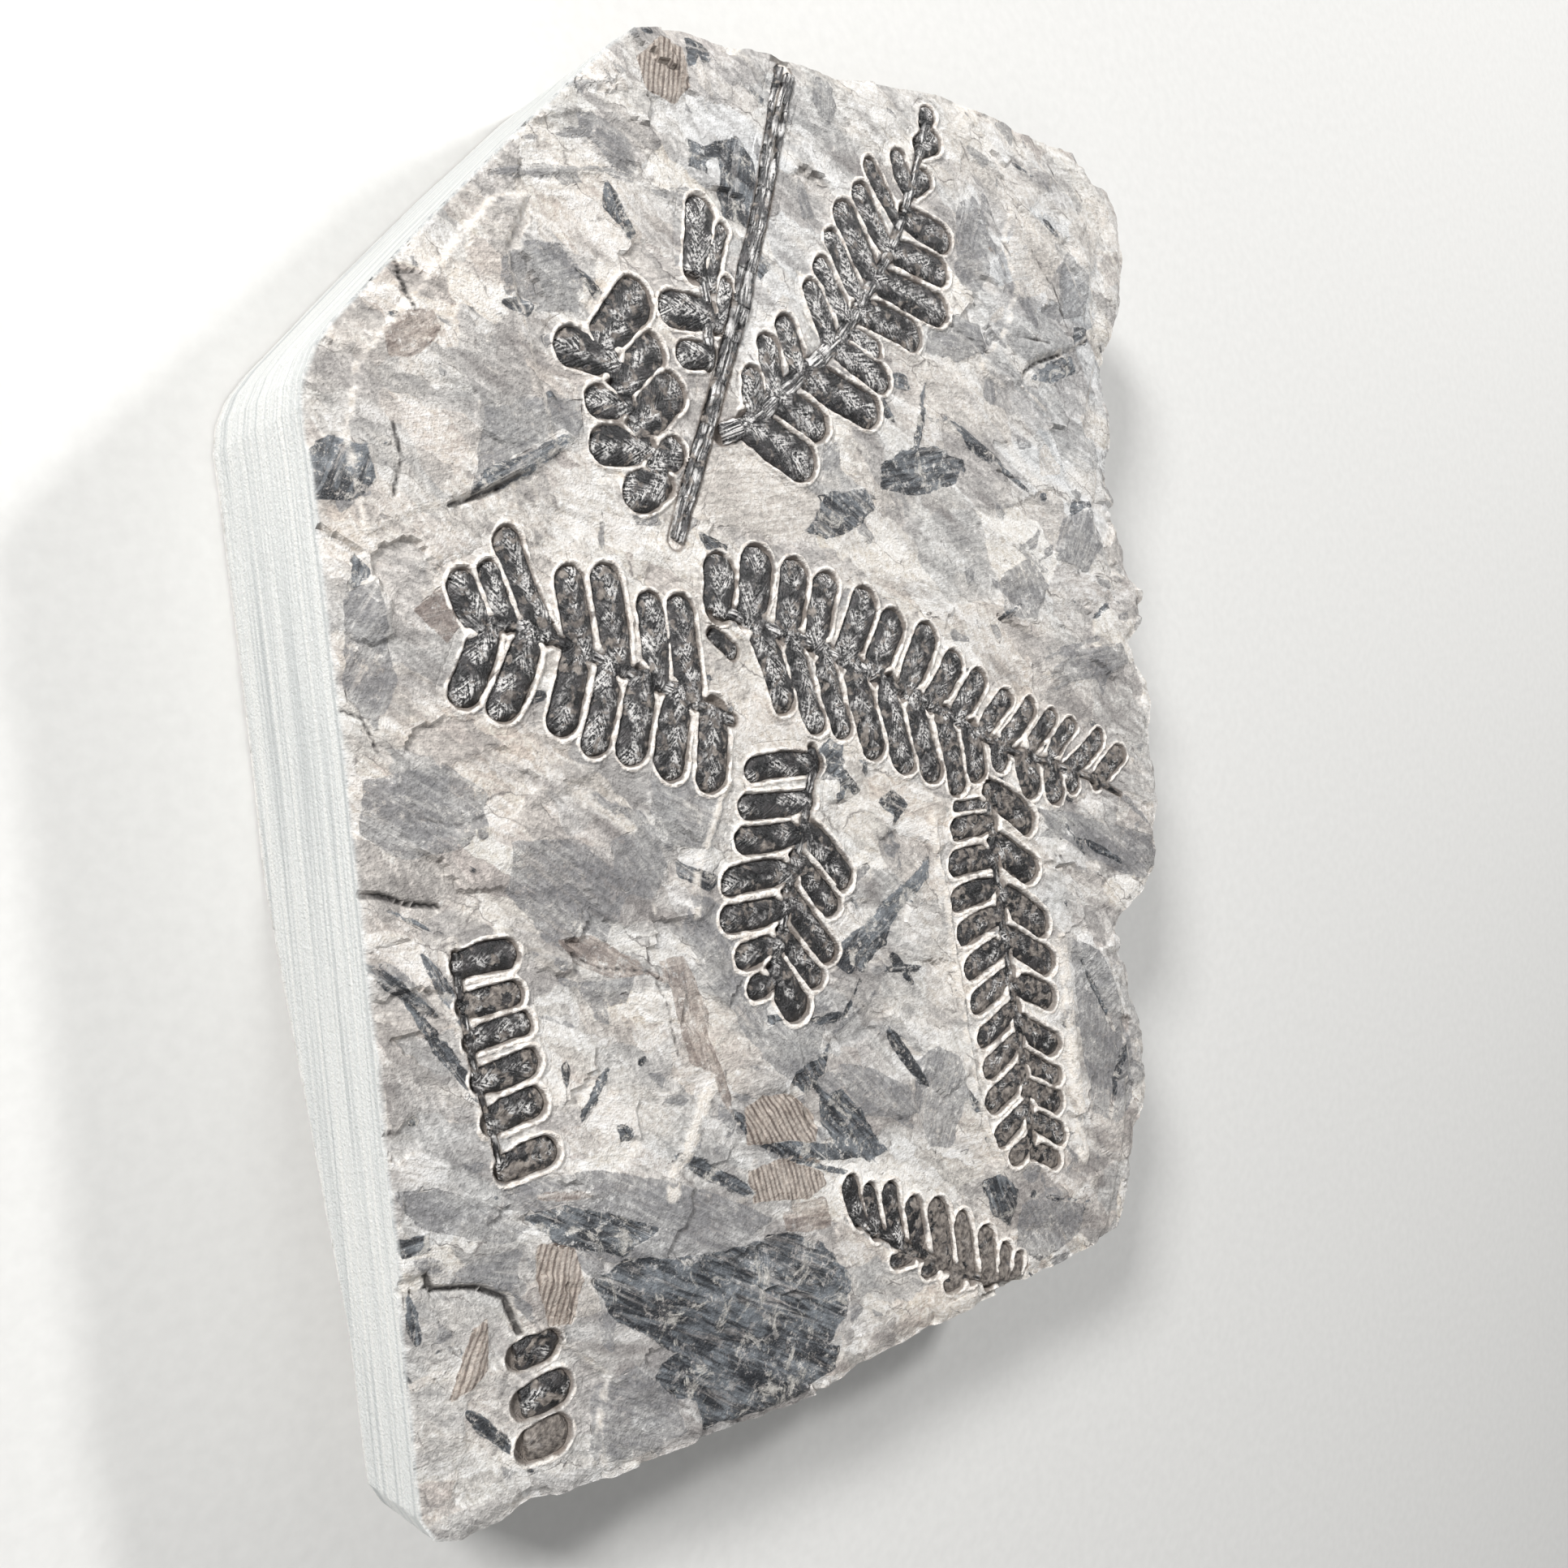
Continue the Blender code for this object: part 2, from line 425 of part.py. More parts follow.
def chip_mesh(place, across, down, height, turn):
    """Returns a faceted lump that takes a chip out of a broken edge."""
    shape = bmesh.new()
    size = Matrix.Diagonal((across / 2 * MM, across * CHIP_REACH * MM, down / 2 * MM, 1))
    spin = Matrix.Rotation(turn, 4, "Z") @ Matrix.Rotation(turn * CHIP_TILT, 4, "X")
    move = Matrix.Translation((place[0] * MM, place[1] * MM, height * MM))
    edge = Matrix.Rotation(math.atan2(place[1], place[0]) + math.pi / 2, 4, "Z")
    bmesh.ops.create_icosphere(shape, subdivisions=1, radius=1, matrix=move @ edge @ size @ spin)
    mesh = bpy.data.meshes.new("chip")
    shape.to_mesh(mesh)
    shape.free()
    return mesh


def add_boolean(thing, operation, other):
    """Adds a live Boolean modifier with the other object."""
    modifier = thing.modifiers.new(f"{operation.lower()} {other.name}", "BOOLEAN")
    modifier.operation = operation
    modifier.object = other


def build_slab(plate, helpers, shale, pockets):
    """Builds the slab: its outline, its undercut back, its flakes and bands, and the pockets."""
    body = flat_outline(SAWN + BROKEN, 0, FACE)
    lean_broken_wall(body)
    slab = keep("slab blank", body, helpers)
    add_boolean(slab, "DIFFERENCE", keep("undercut", undercut_mesh(), helpers))
    for name, outline in (("upper left flake", UPPER_LEFT_FLAKE), ("upper right flake", UPPER_RIGHT_FLAKE)):
        flake = flat_outline(outline, FACE - FLAKE_ROOT, FACE + RAISED)
        add_boolean(slab, "UNION", keep(name, flake, helpers))
    for name, line in (("left band", LEFT_BAND), ("right band", RIGHT_BAND)):
        band = rod(line, BAND_RADIUS, BAND_FLATNESS)
        add_boolean(slab, "UNION", keep(name, band, helpers))
    lowered = (("lower left flat", LOWER_LEFT_FLAT), ("right rim", RIGHT_RIM),
               ("lower right rim", LOWER_RIGHT_RIM))
    for name, outline in lowered:
        flat = flat_outline(outline, FACE - LOWERED, FACE + CUTTER_TOP)
        add_boolean(slab, "DIFFERENCE", keep(name, flat, helpers))
    for number, (place, across, down, height) in enumerate(EDGE_CHIPS):
        chip = chip_mesh(place, across, down, height, number)
        add_boolean(slab, "DIFFERENCE", keep(f"edge chip {number}", chip, helpers))
    for pocket in pockets:
        add_boolean(slab, "DIFFERENCE", pocket)
    keep("stone_slab", mesh_of(slab), plate, shale)


def build_stem(plate, helpers, coal):
    """Builds the main stem and returns its pocket."""
    keep("main_stem", rod(MAIN_STEM, STEM_RADIUS, STEM_FLATNESS), plate, coal)
    pocket = rod(stretched(MAIN_STEM, GAP), STEM_RADIUS + GAP, STEM_POCKET_FLATNESS)
    return keep("main stem pocket", pocket, helpers)


def build_frond(name, frond, plate, helpers, coal, stem_pocket):
    """Builds one frond, trimmed clear of the main stem, and returns its pocket."""
    whole = keep("whole frond", frond_mesh(frond, 0, helpers), helpers)
    add_boolean(whole, "DIFFERENCE", stem_pocket)
    keep(name, mesh_of(whole), plate, coal)
    return keep(f"{name} pocket", frond_mesh(frond, GAP, helpers), helpers)


def build_leaflet(name, leaflet, sink, plate, helpers, coal):
    """Builds one single pinnule and returns its pocket."""
    foot, tip, width = leaflet
    low = FACE - FILM_DEPTH - sink
    body = pinnule(foot, tip, width, low, FACE + FILM_RISE - sink, 0)
    keep(name, body, plate, coal)
    return keep(f"{name} pocket", pinnule(foot, tip, width, low - GAP, FACE + CUTTER_TOP, GAP), helpers)


def main():
    """Builds the whole plate."""
    clear_scene()
    plate = new_collection("fossil_fern_plate")
    helpers = new_collection("cutters")
    shale = matt_material("pale_shale", (0.50, 0.48, 0.45), 0.85)
    coal = matt_material("coalified_fern", (0.022, 0.021, 0.021), 0.42)
    stem_pocket = build_stem(plate, helpers, coal)
    pockets = [stem_pocket]
    for name, frond in FRONDS.items():
        pockets.append(build_frond(name, frond, plate, helpers, coal, stem_pocket))
    pockets.append(build_leaflet("loose_leaflet", LOOSE_LEAFLET, 0, plate, helpers, coal))
    for name, leaflet in LEAFLETS.items():
        pockets.append(build_leaflet(name, leaflet, LEAFLET_SINK, plate, helpers, coal))
    build_slab(plate, helpers, shale, pockets)


main()
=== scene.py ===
import math

import bpy
import numpy as np
from mathutils import Matrix, Vector, noise


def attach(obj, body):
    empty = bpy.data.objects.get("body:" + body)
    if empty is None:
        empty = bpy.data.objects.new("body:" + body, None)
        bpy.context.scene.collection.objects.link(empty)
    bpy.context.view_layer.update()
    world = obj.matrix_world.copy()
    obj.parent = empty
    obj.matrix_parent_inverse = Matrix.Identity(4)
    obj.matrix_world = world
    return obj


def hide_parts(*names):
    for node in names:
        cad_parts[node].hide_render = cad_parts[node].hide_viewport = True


# Fossil fern plate: a sawn and broken slab of pale grey shale that carries coalified fern fronds.
# Plan points are in millimetres on the face, as in the part's own frame; MM turns them to metres.

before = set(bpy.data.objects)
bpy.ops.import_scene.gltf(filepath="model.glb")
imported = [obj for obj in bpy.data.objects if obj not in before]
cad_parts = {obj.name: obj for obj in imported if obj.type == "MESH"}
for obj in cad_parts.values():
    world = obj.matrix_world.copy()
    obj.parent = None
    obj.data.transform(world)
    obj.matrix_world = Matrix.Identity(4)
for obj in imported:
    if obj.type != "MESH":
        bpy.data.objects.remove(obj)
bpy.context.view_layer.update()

MM = 0.001
FACE = 28.0  # height of the fern face above the back
TOP = 28.85  # nothing rises above this
SEED = 7
SPREAD = 0.26  # how far a pinnule's film spreads on each side, up to the ridge that two neighbours share
FAR = 3.3  # distances to films are not followed further
NOWHERE = 9.0  # stored distance where a shape is not near

# Slab mesh
FACE_CELLS = (262, 318)  # cells across and along the face
WALL_RINGS = 24  # rings of cells down the walls
BACK_CELLS = (44, 54)
HIDDEN_SHARE = 0.07  # share of the cells under the fronds that is kept

# ------------------------------------------------------------------------------------------------
# Plan of the plate

SAWN = [
    (-76, -88), (-76, -40), (-76, -2), (-76.6, 34), (-76.8, 39), (-76.2, 42.5), (-74.6, 45.8), (-72, 49),
    (-60, 61), (-45, 75.4), (-30, 89),
]
BROKEN = [
    (-26, 91.8), (-21, 93.2), (-16, 93.6), (-11, 93), (-5, 93.6), (0, 94), (5, 93.2), (11, 93), (18, 94.1),
    (32, 94.7), (41, 94.3), (48, 93.4), (51, 92.4), (60, 92.4), (66, 91.9), (66.8, 90), (69.5, 89.5),
    (70.8, 87.3), (73, 87.2), (75.8, 84.8), (76.8, 82), (77.2, 75), (76, 68), (73.5, 63), (70, 58),
    (68.7, 55), (68.7, 50.5), (70, 47), (69.8, 42), (67.3, 39.3), (66.7, 36), (69, 32.5), (67, 29.7),
    (69.3, 27), (71, 24), (71.7, 20), (73.5, 16.5), (73, 12), (70.5, 9.5), (68.5, 8), (70.5, 4.5), (73.3, 1),
    (74.2, -3), (72.5, -7), (72.3, -10), (73.5, -15), (73.2, -20), (71.5, -25), (71, -31), (69, -33.5),
    (64, -36), (60, -38.5), (58.7, -41), (60, -45), (61.5, -49), (62.5, -54), (64.3, -58), (64.3, -64),
    (64.8, -69), (63.5, -72.5), (60.3, -74), (58.8, -78), (57.8, -83), (56, -87.5), (53, -90.5), (47, -91.3),
    (38, -91.7), (28, -91.9), (20, -92.3), (5, -92.5), (-8, -93), (-16, -94.3), (-24, -94), (-35, -93.3),
    (-50, -93), (-58, -92.2), (-61, -91.6), (-66, -92.5), (-71, -92.3), (-74.5, -91),
]
OUTLINE = SAWN + BROKEN
CORNERS = [(-76, -88), (-60, 61), (75.8, 84.8), (56, -87.5)]  # the face's four corners, clockwise

WALL_LEVELS = (0, 9, 19, 20, 28)  # heights at which the broken wall's lean is known
WALL_LEAN = (3.6, 1.4, 2.6, 0, 0)  # how far the wall draws in at those heights
UPRIGHT = 6.0  # distance from the sawn stretch where the wall is still upright
LEAN_START = 14.0  # distance over which the lean then grows
UNDERCUT_ANGLE = -20.0  # direction of the line where the back starts to rise
UNDERCUT_START = (-76.0, -15.0)
UNDERCUT_RUN = (0, 52, 95)
UNDERCUT_RISE = (0, 12.2, 14.2)
EDGE_CHIPS = [
    ((-20, 93), 30, 13, 1), ((14, 93), 26, 10, 2), ((45, 93), 30, 15, 0), ((72, 86), 17, 12, 2),
    ((71, 59), 22, 14, 1), ((66, 33), 14, 13, 0), ((69, 8), 18, 12, 1), ((72, -14), 24, 12, 0),
    ((62, -38), 16, 12, 2), ((62, -62), 24, 13, 1), ((56, -86), 17, 12, 5), ((24, -92), 28, 11, 9),
    ((-20, -94), 26, 9, 12), ((-50, -93), 22, 7, 13),
]

# Flakes of the bedding plane: outline, height against the face, width of the slope at its edge
FLAKES = [
    ([(-71, 25), (-63, 28), (-57, 29.5), (-50, 32.6), (-44.5, 35.5), (-46, 44), (-47.5, 52), (-49, 60),
        (-45, 67), (-50, 66), (-60, 55), (-70, 44), (-72, 36)], 0.75, 1.2),
    ([(36, 52.6), (41, 50), (44.5, 50.8), (47, 54), (53, 56.3), (59, 57.6), (63.6, 60.5), (63, 66), (60, 71),
        (56, 74.8), (51, 76), (46, 79), (44, 73), (46, 66), (43, 60)], 0.75, 1.0),
    ([(-80, -60), (-72.5, -60), (-72, -62), (-66, -63.6), (-62.3, -65.8), (-60.8, -71), (-56, -73.6),
        (-50, -79.5), (-52, -87), (-50, -97), (-80, -97)], -0.85, 0.9),
    ([(53, 99), (55, 88), (63, 84), (67, 77), (66, 66), (66.5, 58), (63.5, 51), (61, 45), (63, 37), (61, 29),
        (66, 20), (84, 16), (84, 99)], -0.8, 1.8),
    ([(55, -44), (57.5, -54), (59, -64), (56, -74), (52, -84), (44, -97), (70, -97), (74, -44)], -0.8, 1.6),
]
# Raised bands of stone: line, half-width, height
BANDS = [
    ([(16, -17), (16.2, -22), (17.6, -29), (18, -36), (18.8, -44), (19.4, -52), (20.4, -60), (22.4, -67.5),
        (25, -72.5)], 0.45, 0.7),
    ([(43.2, -40), (43.6, -46), (43.4, -54), (43.6, -62), (44, -70), (44.6, -76)], 1.4, 0.55),
    ([(-22, -8), (-26, -14), (-29, -20), (-30, -25)], 0.5, 0.3),
    ([(-30, -48), (-34, -54), (-38, -60)], 1.0, 0.25),
    ([(-65, -23), (-64.6, -32), (-63.6, -42), (-62, -50)], 0.6, 0.35),
]
# Ledges: line, step up on its left side, distance over which the step fades
LEDGES = [
    ([(37, 89), (41, 83), (44.5, 77), (46.4, 71), (47, 62)], 0.45, 6),
    ([(52, 87), (57, 81), (62, 74)], 0.4, 5), ([(46, 50), (53, 46), (61, 42), (66, 40)], -0.4, 6),
    ([(30, 29), (38, 25), (48, 22), (60, 20)], 0.3, 6), ([(24, 50), (26, 44), (31, 40), (38, 36)], 0.35, 4),
    ([(42, -20), (52, -22), (64, -20)], 0.35, 4), ([(42, -27), (52, -31), (60, -30)], 0.35, 4),
    ([(-57, -15), (-50, -17), (-42, -25)], 0.3, 4), ([(-72, 46), (-62, 44), (-54, 47)], 0.4, 4),
    ([(-66, 53), (-58, 57), (-50, 66)], -0.4, 5), ([(-44, 76), (-36, 79), (-22, 77)], 0.35, 5),
    ([(-30, 24), (-40, 23), (-50, 26), (-62, 27)], 0.3, 4), ([(-36, -48), (-31, -45), (-27, -42)], 0.3, 3),
    ([(58, 88), (62.5, 83), (67, 80)], -0.3, 4), ([(30, 58.6), (38, 55.4), (44, 51)], 0.35, 4),
    ([(34, 82), (37, 74), (36, 66)], -0.3, 4), ([(50, 74), (55, 67), (58, 60)], 0.35, 4),
    ([(60, 70), (66, 66), (72, 67)], 0.3, 4), ([(40, 14), (50, 12), (60, 13), (68, 16)], -0.3, 4),
    ([(42, 34), (50, 30), (58, 33)], 0.3, 4), ([(-72, 12), (-66, 20), (-60, 22)], 0.25, 4),
    ([(-76, -36), (-70, -38), (-64, -46)], 0.3, 4), ([(-52, -8), (-44, -6), (-34, -10)], 0.25, 4),
    ([(-30, -26), (-38, -24), (-48, -28)], -0.3, 4),
    ([(-34, -43), (-35, -36), (-42, -31), (-51, -26)], 0.3, 4), ([(-4, -24), (2, -22), (8, -16)], 0.3, 3),
    ([(6, -34), (12, -38), (16, -36)], 0.25, 3), ([(-6, -48), (2, -46), (10, -50)], -0.25, 3),
    ([(46, -42), (52, -46), (57, -54)], 0.35, 4), ([(47, -60), (53, -66), (60, -66)], -0.3, 4),
    ([(24, -80), (34, -82), (46, -80)], 0.3, 4), ([(-52, -62), (-40, -66), (-30, -72)], 0.25, 3),
    ([(-46, -84), (-34, -86), (-20, -90)], 0.3, 3), ([(-70, -66), (-66, -70), (-70, -76)], 0.25, 3),
    ([(10, 90), (16, 86), (22, 88)], 0.3, 3), ([(-14, 90), (-9, 86), (-4, 88)], -0.25, 3),
    ([(-30, 70), (-38, 68), (-46, 70)], 0.3, 3), ([(4, 24), (12, 26), (20, 22)], 0.25, 3),
]
# Open cracks: line, half-width, depth
CRACKS = [
    ([(-76, -16), (-73, -16.4), (-70, -17.8), (-66, -18.6)], 0.45, 0.8),
    ([(-60, 28.2), (-55, 29.8), (-50, 32.2)], 0.4, 0.6),
    ([(-66.5, 37.5), (-65.8, 33.5), (-67.2, 29)], 0.35, 0.5),
    ([(-72.5, -60.2), (-72, -62.2), (-66, -63.8), (-62.6, -66.2), (-61, -71)], 0.45, 0.5),
    ([(46, 52.6), (50, 54.6), (56, 56.4)], 0.4, 0.5), ([(45, 58.5), (53, 58)], 0.3, 0.35),
    ([(37.5, 36.5), (42, 35.4), (46, 35)], 0.3, 0.35), ([(-67, 62.8), (-64, 57.5), (-62, 51)], 0.35, 0.3),
    ([(-51, -26), (-45, -29.5), (-38, -31), (-36, -35), (-34.5, -44)], 0.25, 0.2),
    ([(-76, 5), (-73.5, 4), (-72, 0)], 0.3, 0.3), ([(-68, -8), (-63, -9.4), (-56, -8)], 0.2, 0.2),
    ([(30, 58.6), (38, 55.4), (44, 51)], 0.25, 0.25), ([(50, 73), (55, 67), (58, 61)], 0.25, 0.25),
    ([(36, 88), (41, 81), (45, 71)], 0.2, 0.2), ([(58.5, 89), (62.5, 83.5), (66, 80.5)], 0.25, 0.25),
]

# ------------------------------------------------------------------------------------------------
# Fronds: half-width of the rachis at both ends, height of the film's crest against the face, how much painted
# highlight (silvery glints in the film's colour) and how much wear to brown the film has at its near and far end, the
# rachis's line, then each pinnule from foot to tip, with its width. "rim" lowers the rim round single leaflets.

MAIN_STEM = [
    (0.2, 91.5), (-2, 86), (-4, 80), (-5.8, 74), (-8, 68), (-10.6, 62), (-12.2, 57), (-14.6, 52), (-17.2, 46),
    (-19.8, 40), (-22.3, 35), (-24.8, 30), (-27, 24.5),
]
FRONDS = {
    "upper_left_pinna": {
        "half_width": (0.75, 0.6), "crest": 0.3, "painted_glint_share": (0.95, 0.45), "worn": (0.05, 0.3),
        "rachis": [(-27.6, 31.5), (-29.5, 35), (-31.8, 40), (-34, 45), (-36, 50)],
        "pinnules": [
            ((-29, 32), (-34.4, 29.6), 5.2), ((-31, 36.6), (-39.2, 36.4), 4.9), ((-33, 42), (-39.4, 42.1), 4),
            ((-34.6, 47.4), (-43.2, 49), 4.8), ((-35.6, 50), (-28.6, 58), 5.8),
            ((-33.6, 44.4), (-27, 51), 5.3), ((-31.2, 39.4), (-24, 45.8), 6),
            ((-29.4, 34.4), (-24.5, 37.3), 4),
        ],
    },
    "upper_middle_pinna": {
        "half_width": (0.8, 0.6), "crest": 0.25, "painted_glint_share": (0.8, 0.8), "worn": (0.0, 0.1),
        "rachis": [(-18.6, 48), (-18.3, 52), (-18, 56), (-18.4, 59.5), (-19.4, 62)],
        "pinnules": [
            ((-18.6, 49.6), (-24, 49.5), 3.4), ((-18.4, 55.2), (-26.3, 55.6), 4.5),
            ((-19.6, 61), (-17.7, 71.2), 4.5), ((-17.4, 59), (-14.3, 68), 2.4),
            ((-16.8, 53.6), (-14.4, 60.6), 2.2),
        ],
    },
    "upper_right_pinna": {
        "half_width": (1.5, 0.5), "crest": 0.25, "painted_glint_share": (0.9, 0.6), "worn": (0.05, 0.15),
        "rachis": [
            (-17.5, 39), (-14, 40.2), (-10, 42.6), (-6, 45.6), (-2, 48.6), (2, 51.2), (6, 54.2), (9, 57.4),
            (12, 61.2), (15, 64.8), (18, 68.4), (20, 71.8), (22, 75.2), (24, 79.2), (26, 84), (28, 89),
        ],
        "pinnules": [
            ((-11.6, 43), (-11.2, 48.8), 3.8), ((-7.6, 45.4), (-8.2, 53.6), 3.6),
            ((-2.6, 49), (-4.8, 56.6), 3.4), ((4, 53.6), (0.8, 62.2), 3.6), ((8, 57), (3, 65.7), 3.4),
            ((10.6, 60.4), (5.6, 70), 3), ((13.8, 64.2), (8.4, 74.6), 4.4), ((17.6, 68.6), (12.2, 77.8), 3.4),
            ((20.2, 73.4), (14.6, 81.8), 2.2), ((23, 78.6), (20.8, 84.2), 3), ((-12, 40.4), (-1.2, 34.8), 6),
            ((-6.6, 44.4), (1.8, 40.4), 4.9), ((-1, 48.6), (12.5, 43.2), 5.1), ((5.4, 53), (15.2, 48), 4),
            ((8.2, 55.4), (14, 52.6), 2.5), ((10.6, 58.8), (23, 55.4), 4.5),
            ((14.6, 63.8), (29.4, 60.2), 4.9), ((18.4, 68.6), (30.2, 66), 4.2),
            ((21.8, 74.2), (31.5, 71.3), 4.2), ((24, 78.6), (28, 81.4), 3), ((26.6, 85.6), (31, 87.4), 3.6),
            ((28, 89), (29.6, 92), 2.6),
        ],
    },
    "left_frond": {
        "half_width": (0.6, 0.9), "crest": 0.25, "painted_glint_share": (0.5, 0.7), "worn": (0.15, 0.25),
        "rachis": [
            (-57.5, 14.2), (-54, 14), (-50, 13.2), (-46, 11.4), (-42, 9.8), (-38, 8), (-34, 6.4), (-30, 4.9),
            (-26, 2.8), (-22, 0.8), (-20.4, 0.2),
        ],
        "pinnules": [
            ((-57.4, 14), (-59.8, 20.7), 4), ((-53.8, 14.4), (-55.8, 21.8), 3.4),
            ((-48.6, 12.8), (-53, 25.9), 3.5), ((-43.4, 10.6), (-44.2, 21.3), 4),
            ((-38, 8.4), (-39.1, 21.4), 4.2), ((-32.2, 6.2), (-32.6, 17.8), 4),
            ((-27, 3.6), (-27.6, 17.4), 4.4), ((-56.4, 13.8), (-61.4, 4.5), 4),
            ((-50.6, 13), (-56.6, 2.6), 4.1), ((-44.2, 10.4), (-48, 0), 4.1),
            ((-39.6, 8.4), (-43.6, -2.8), 3.7), ((-34.6, 6.4), (-38, -4.4), 4.6),
            ((-28.8, 4), (-31.8, -7), 4.7), ((-23.8, 1.6), (-25.6, -9.2), 4.7),
        ],
    },
    "right_frond": {
        "half_width": (0.9, 0.45), "crest": 0.22, "painted_glint_share": (0.85, 0.3), "worn": (0.05, 0.45),
        "rachis": [
            (-21.5, 15.4), (-18, 14.4), (-14, 13), (-10, 11.6), (-6, 10.4), (-2, 9), (2, 7.4), (6, 5.6),
            (10, 3.6), (14, 1.8), (18, 0.1), (22, -1.7), (26, -3.9), (30, -6), (34, -7.8), (38, -9.1),
            (42, -10.3), (46, -11.6), (50, -12.8), (54, -14.1), (58, -15.8), (62, -17.8),
        ],
        "pinnules": [
            ((-21, 15.6), (-20.2, 22.9), 5), ((-15.6, 14.2), (-12.9, 24), 5.4),
            ((-9.4, 11.6), (-6.4, 22.2), 4.6), ((-4, 10), (-0.2, 20.2), 4.4), ((1.2, 8), (7, 17.8), 4.9),
            ((6.6, 5.6), (12.7, 14.3), 4.9), ((12.8, 2.6), (19.4, 12.2), 4.6), ((18, 0.4), (25, 7.7), 4),
            ((23.4, -2.2), (30.2, 4.5), 3.8), ((28.8, -5), (36.4, 0.9), 3), ((33.4, -7), (41.6, -0.6), 3),
            ((38.8, -9), (46.8, -2.8), 2.7), ((44, -10.8), (51.6, -4.6), 2.6), ((49, -12.4), (58.4, -7), 3),
            ((56, -15), (64, -10.2), 3.2), ((-14.6, 12.8), (-10.6, 0.6), 4.2),
            ((-8.6, 11), (-4.8, -2.7), 3.7), ((-2.8, 9), (-0.1, -3.8), 3.7), ((2.4, 7), (6, -7.2), 4.6),
            ((9, 3.8), (12.3, -9.9), 4.5), ((14.6, 1.2), (17.8, -11.7), 4.2),
            ((20.4, -1.4), (22.4, -14.2), 3.9), ((26, -4.4), (26.8, -12.6), 4.4),
            ((32.2, -7.2), (33, -11.4), 3.4), ((38.2, -9.4), (39.8, -16.3), 4.9),
            ((44.6, -11.4), (45.2, -17.8), 4.2), ((49.4, -13), (49.8, -16.4), 3),
        ],
    },
    "centre_frond": {
        "half_width": (0.8, 0.7), "crest": 0.0, "painted_glint_share": (0.45, 0.15), "worn": (0.0, 0.15),
        "rachis": [
            (-6.6, -4.6), (-6.4, -7), (-8, -11), (-9.4, -15.4), (-11.4, -19.6), (-12.8, -22.6), (-14, -26),
            (-15.2, -29.4), (-16.6, -33), (-17.4, -36),
        ],
        "pinnules": [
            ((-6.6, -6.9), (-19, -7), 3.1), ((-8.6, -12), (-20.8, -11.6), 3.2),
            ((-10, -16), (-22, -16.1), 3.5), ((-12.4, -21.6), (-25, -21.8), 3.6),
            ((-14.4, -26.2), (-25.8, -26.4), 3.5), ((-15.8, -31), (-24, -31.9), 3.3),
            ((-17.2, -35.8), (-22.2, -36.7), 3.1), ((-9.6, -15.6), (-2.2, -25.1), 3.8),
            ((-11.6, -20), (-4.8, -28.3), 3.6), ((-13.4, -24.6), (-6.2, -34.9), 3.8),
            ((-15.4, -29.8), (-9, -38), 3.4), ((-17, -34.2), (-12.9, -42.1), 5),
        ],
    },
    "lower_right_frond": {
        "half_width": (0.8, 0.6), "crest": -0.05, "painted_glint_share": (0.1, 0.15), "worn": (0.3, 0.5),
        "rachis": [
            (29.6, -13), (29.2, -18), (29.3, -24), (29.6, -30), (30, -36), (30.4, -42), (31, -48),
            (31.3, -54), (31.6, -60), (32, -66), (32, -73),
        ],
        "pinnules": [
            ((29.2, -15.9), (20.8, -16), 1.5), ((29, -19.3), (19.8, -19.5), 3.5),
            ((29.2, -24.6), (18.8, -24.9), 3.7), ((29.4, -29.6), (18.7, -30.4), 3.5),
            ((29.8, -33.6), (19.4, -36), 3.5), ((30, -38.6), (20.3, -41.6), 3.6),
            ((30.4, -43.6), (20.9, -47), 3.6), ((30.8, -48.8), (21.7, -52.6), 3.2),
            ((31.2, -53.6), (22.4, -57.6), 3.4), ((31.4, -59), (22.4, -63), 3.8),
            ((31.8, -65), (23.5, -68.7), 3.4), ((31.8, -70.6), (26.6, -72.2), 3),
            ((29.6, -14.4), (39, -21.2), 4.5), ((29.8, -22.4), (39, -28.6), 4.6),
            ((30, -30.6), (40.2, -38.2), 4.5), ((30.6, -37.6), (41, -44.2), 4.3),
            ((31.2, -45.2), (40.6, -49.6), 3.8), ((31.8, -51.4), (40.8, -57), 3.6),
            ((32, -57), (40.4, -62.4), 3.1), ((32, -61.9), (40, -66.8), 3.6),
            ((32.2, -67), (40.2, -72.2), 3.1), ((32.4, -72), (38.4, -75.6), 2.6),
        ],
    },
    "half_frond": {
        "half_width": (0.4, 0.4), "crest": 0.05, "painted_glint_share": (0.35, 0.35), "worn": (0.2, 0.3),
        "rachis": [(-65, -24.2), (-64.9, -28), (-64.5, -34), (-63.8, -40), (-62.8, -45), (-61.6, -52)],
        "pinnules": [
            ((-64, -25.8), (-56.5, -25.7), 3.4), ((-64, -30.6), (-56.4, -30.4), 3.1),
            ((-63.6, -35), (-55.5, -34.2), 2.9), ((-63, -39.8), (-55, -38.6), 3.4),
            ((-62.2, -44.8), (-54.8, -43.8), 3.7), ((-61, -50.8), (-53.7, -50.2), 3.6),
        ],
    },
    "bottom_frond": {
        "half_width": (0.7, 0.5), "crest": -0.05, "painted_glint_share": (0.1, 0.0), "worn": (0.0, 1.1),
        "rachis": [
            (-6.2, -71.8), (-4, -74.4), (-1, -76.4), (3, -79.2), (7, -81.8), (11, -84.4), (15.4, -87),
            (19.4, -89.2), (23.6, -90.2), (26, -90.4),
        ],
        "pinnules": [
            ((-5.6, -72.6), (-7.4, -65.8), 2.8), ((-2.6, -75.2), (-3.9, -67.8), 2.7),
            ((1.4, -78), (0.4, -68.7), 3.2), ((5.4, -80.6), (4.8, -72), 3.3),
            ((10.6, -84), (9.4, -73.6), 3.9), ((15.4, -87), (14.4, -76.9), 3.5),
            ((19.8, -89.2), (19.3, -80.6), 3.4), ((23.4, -90), (23.5, -84.4), 3),
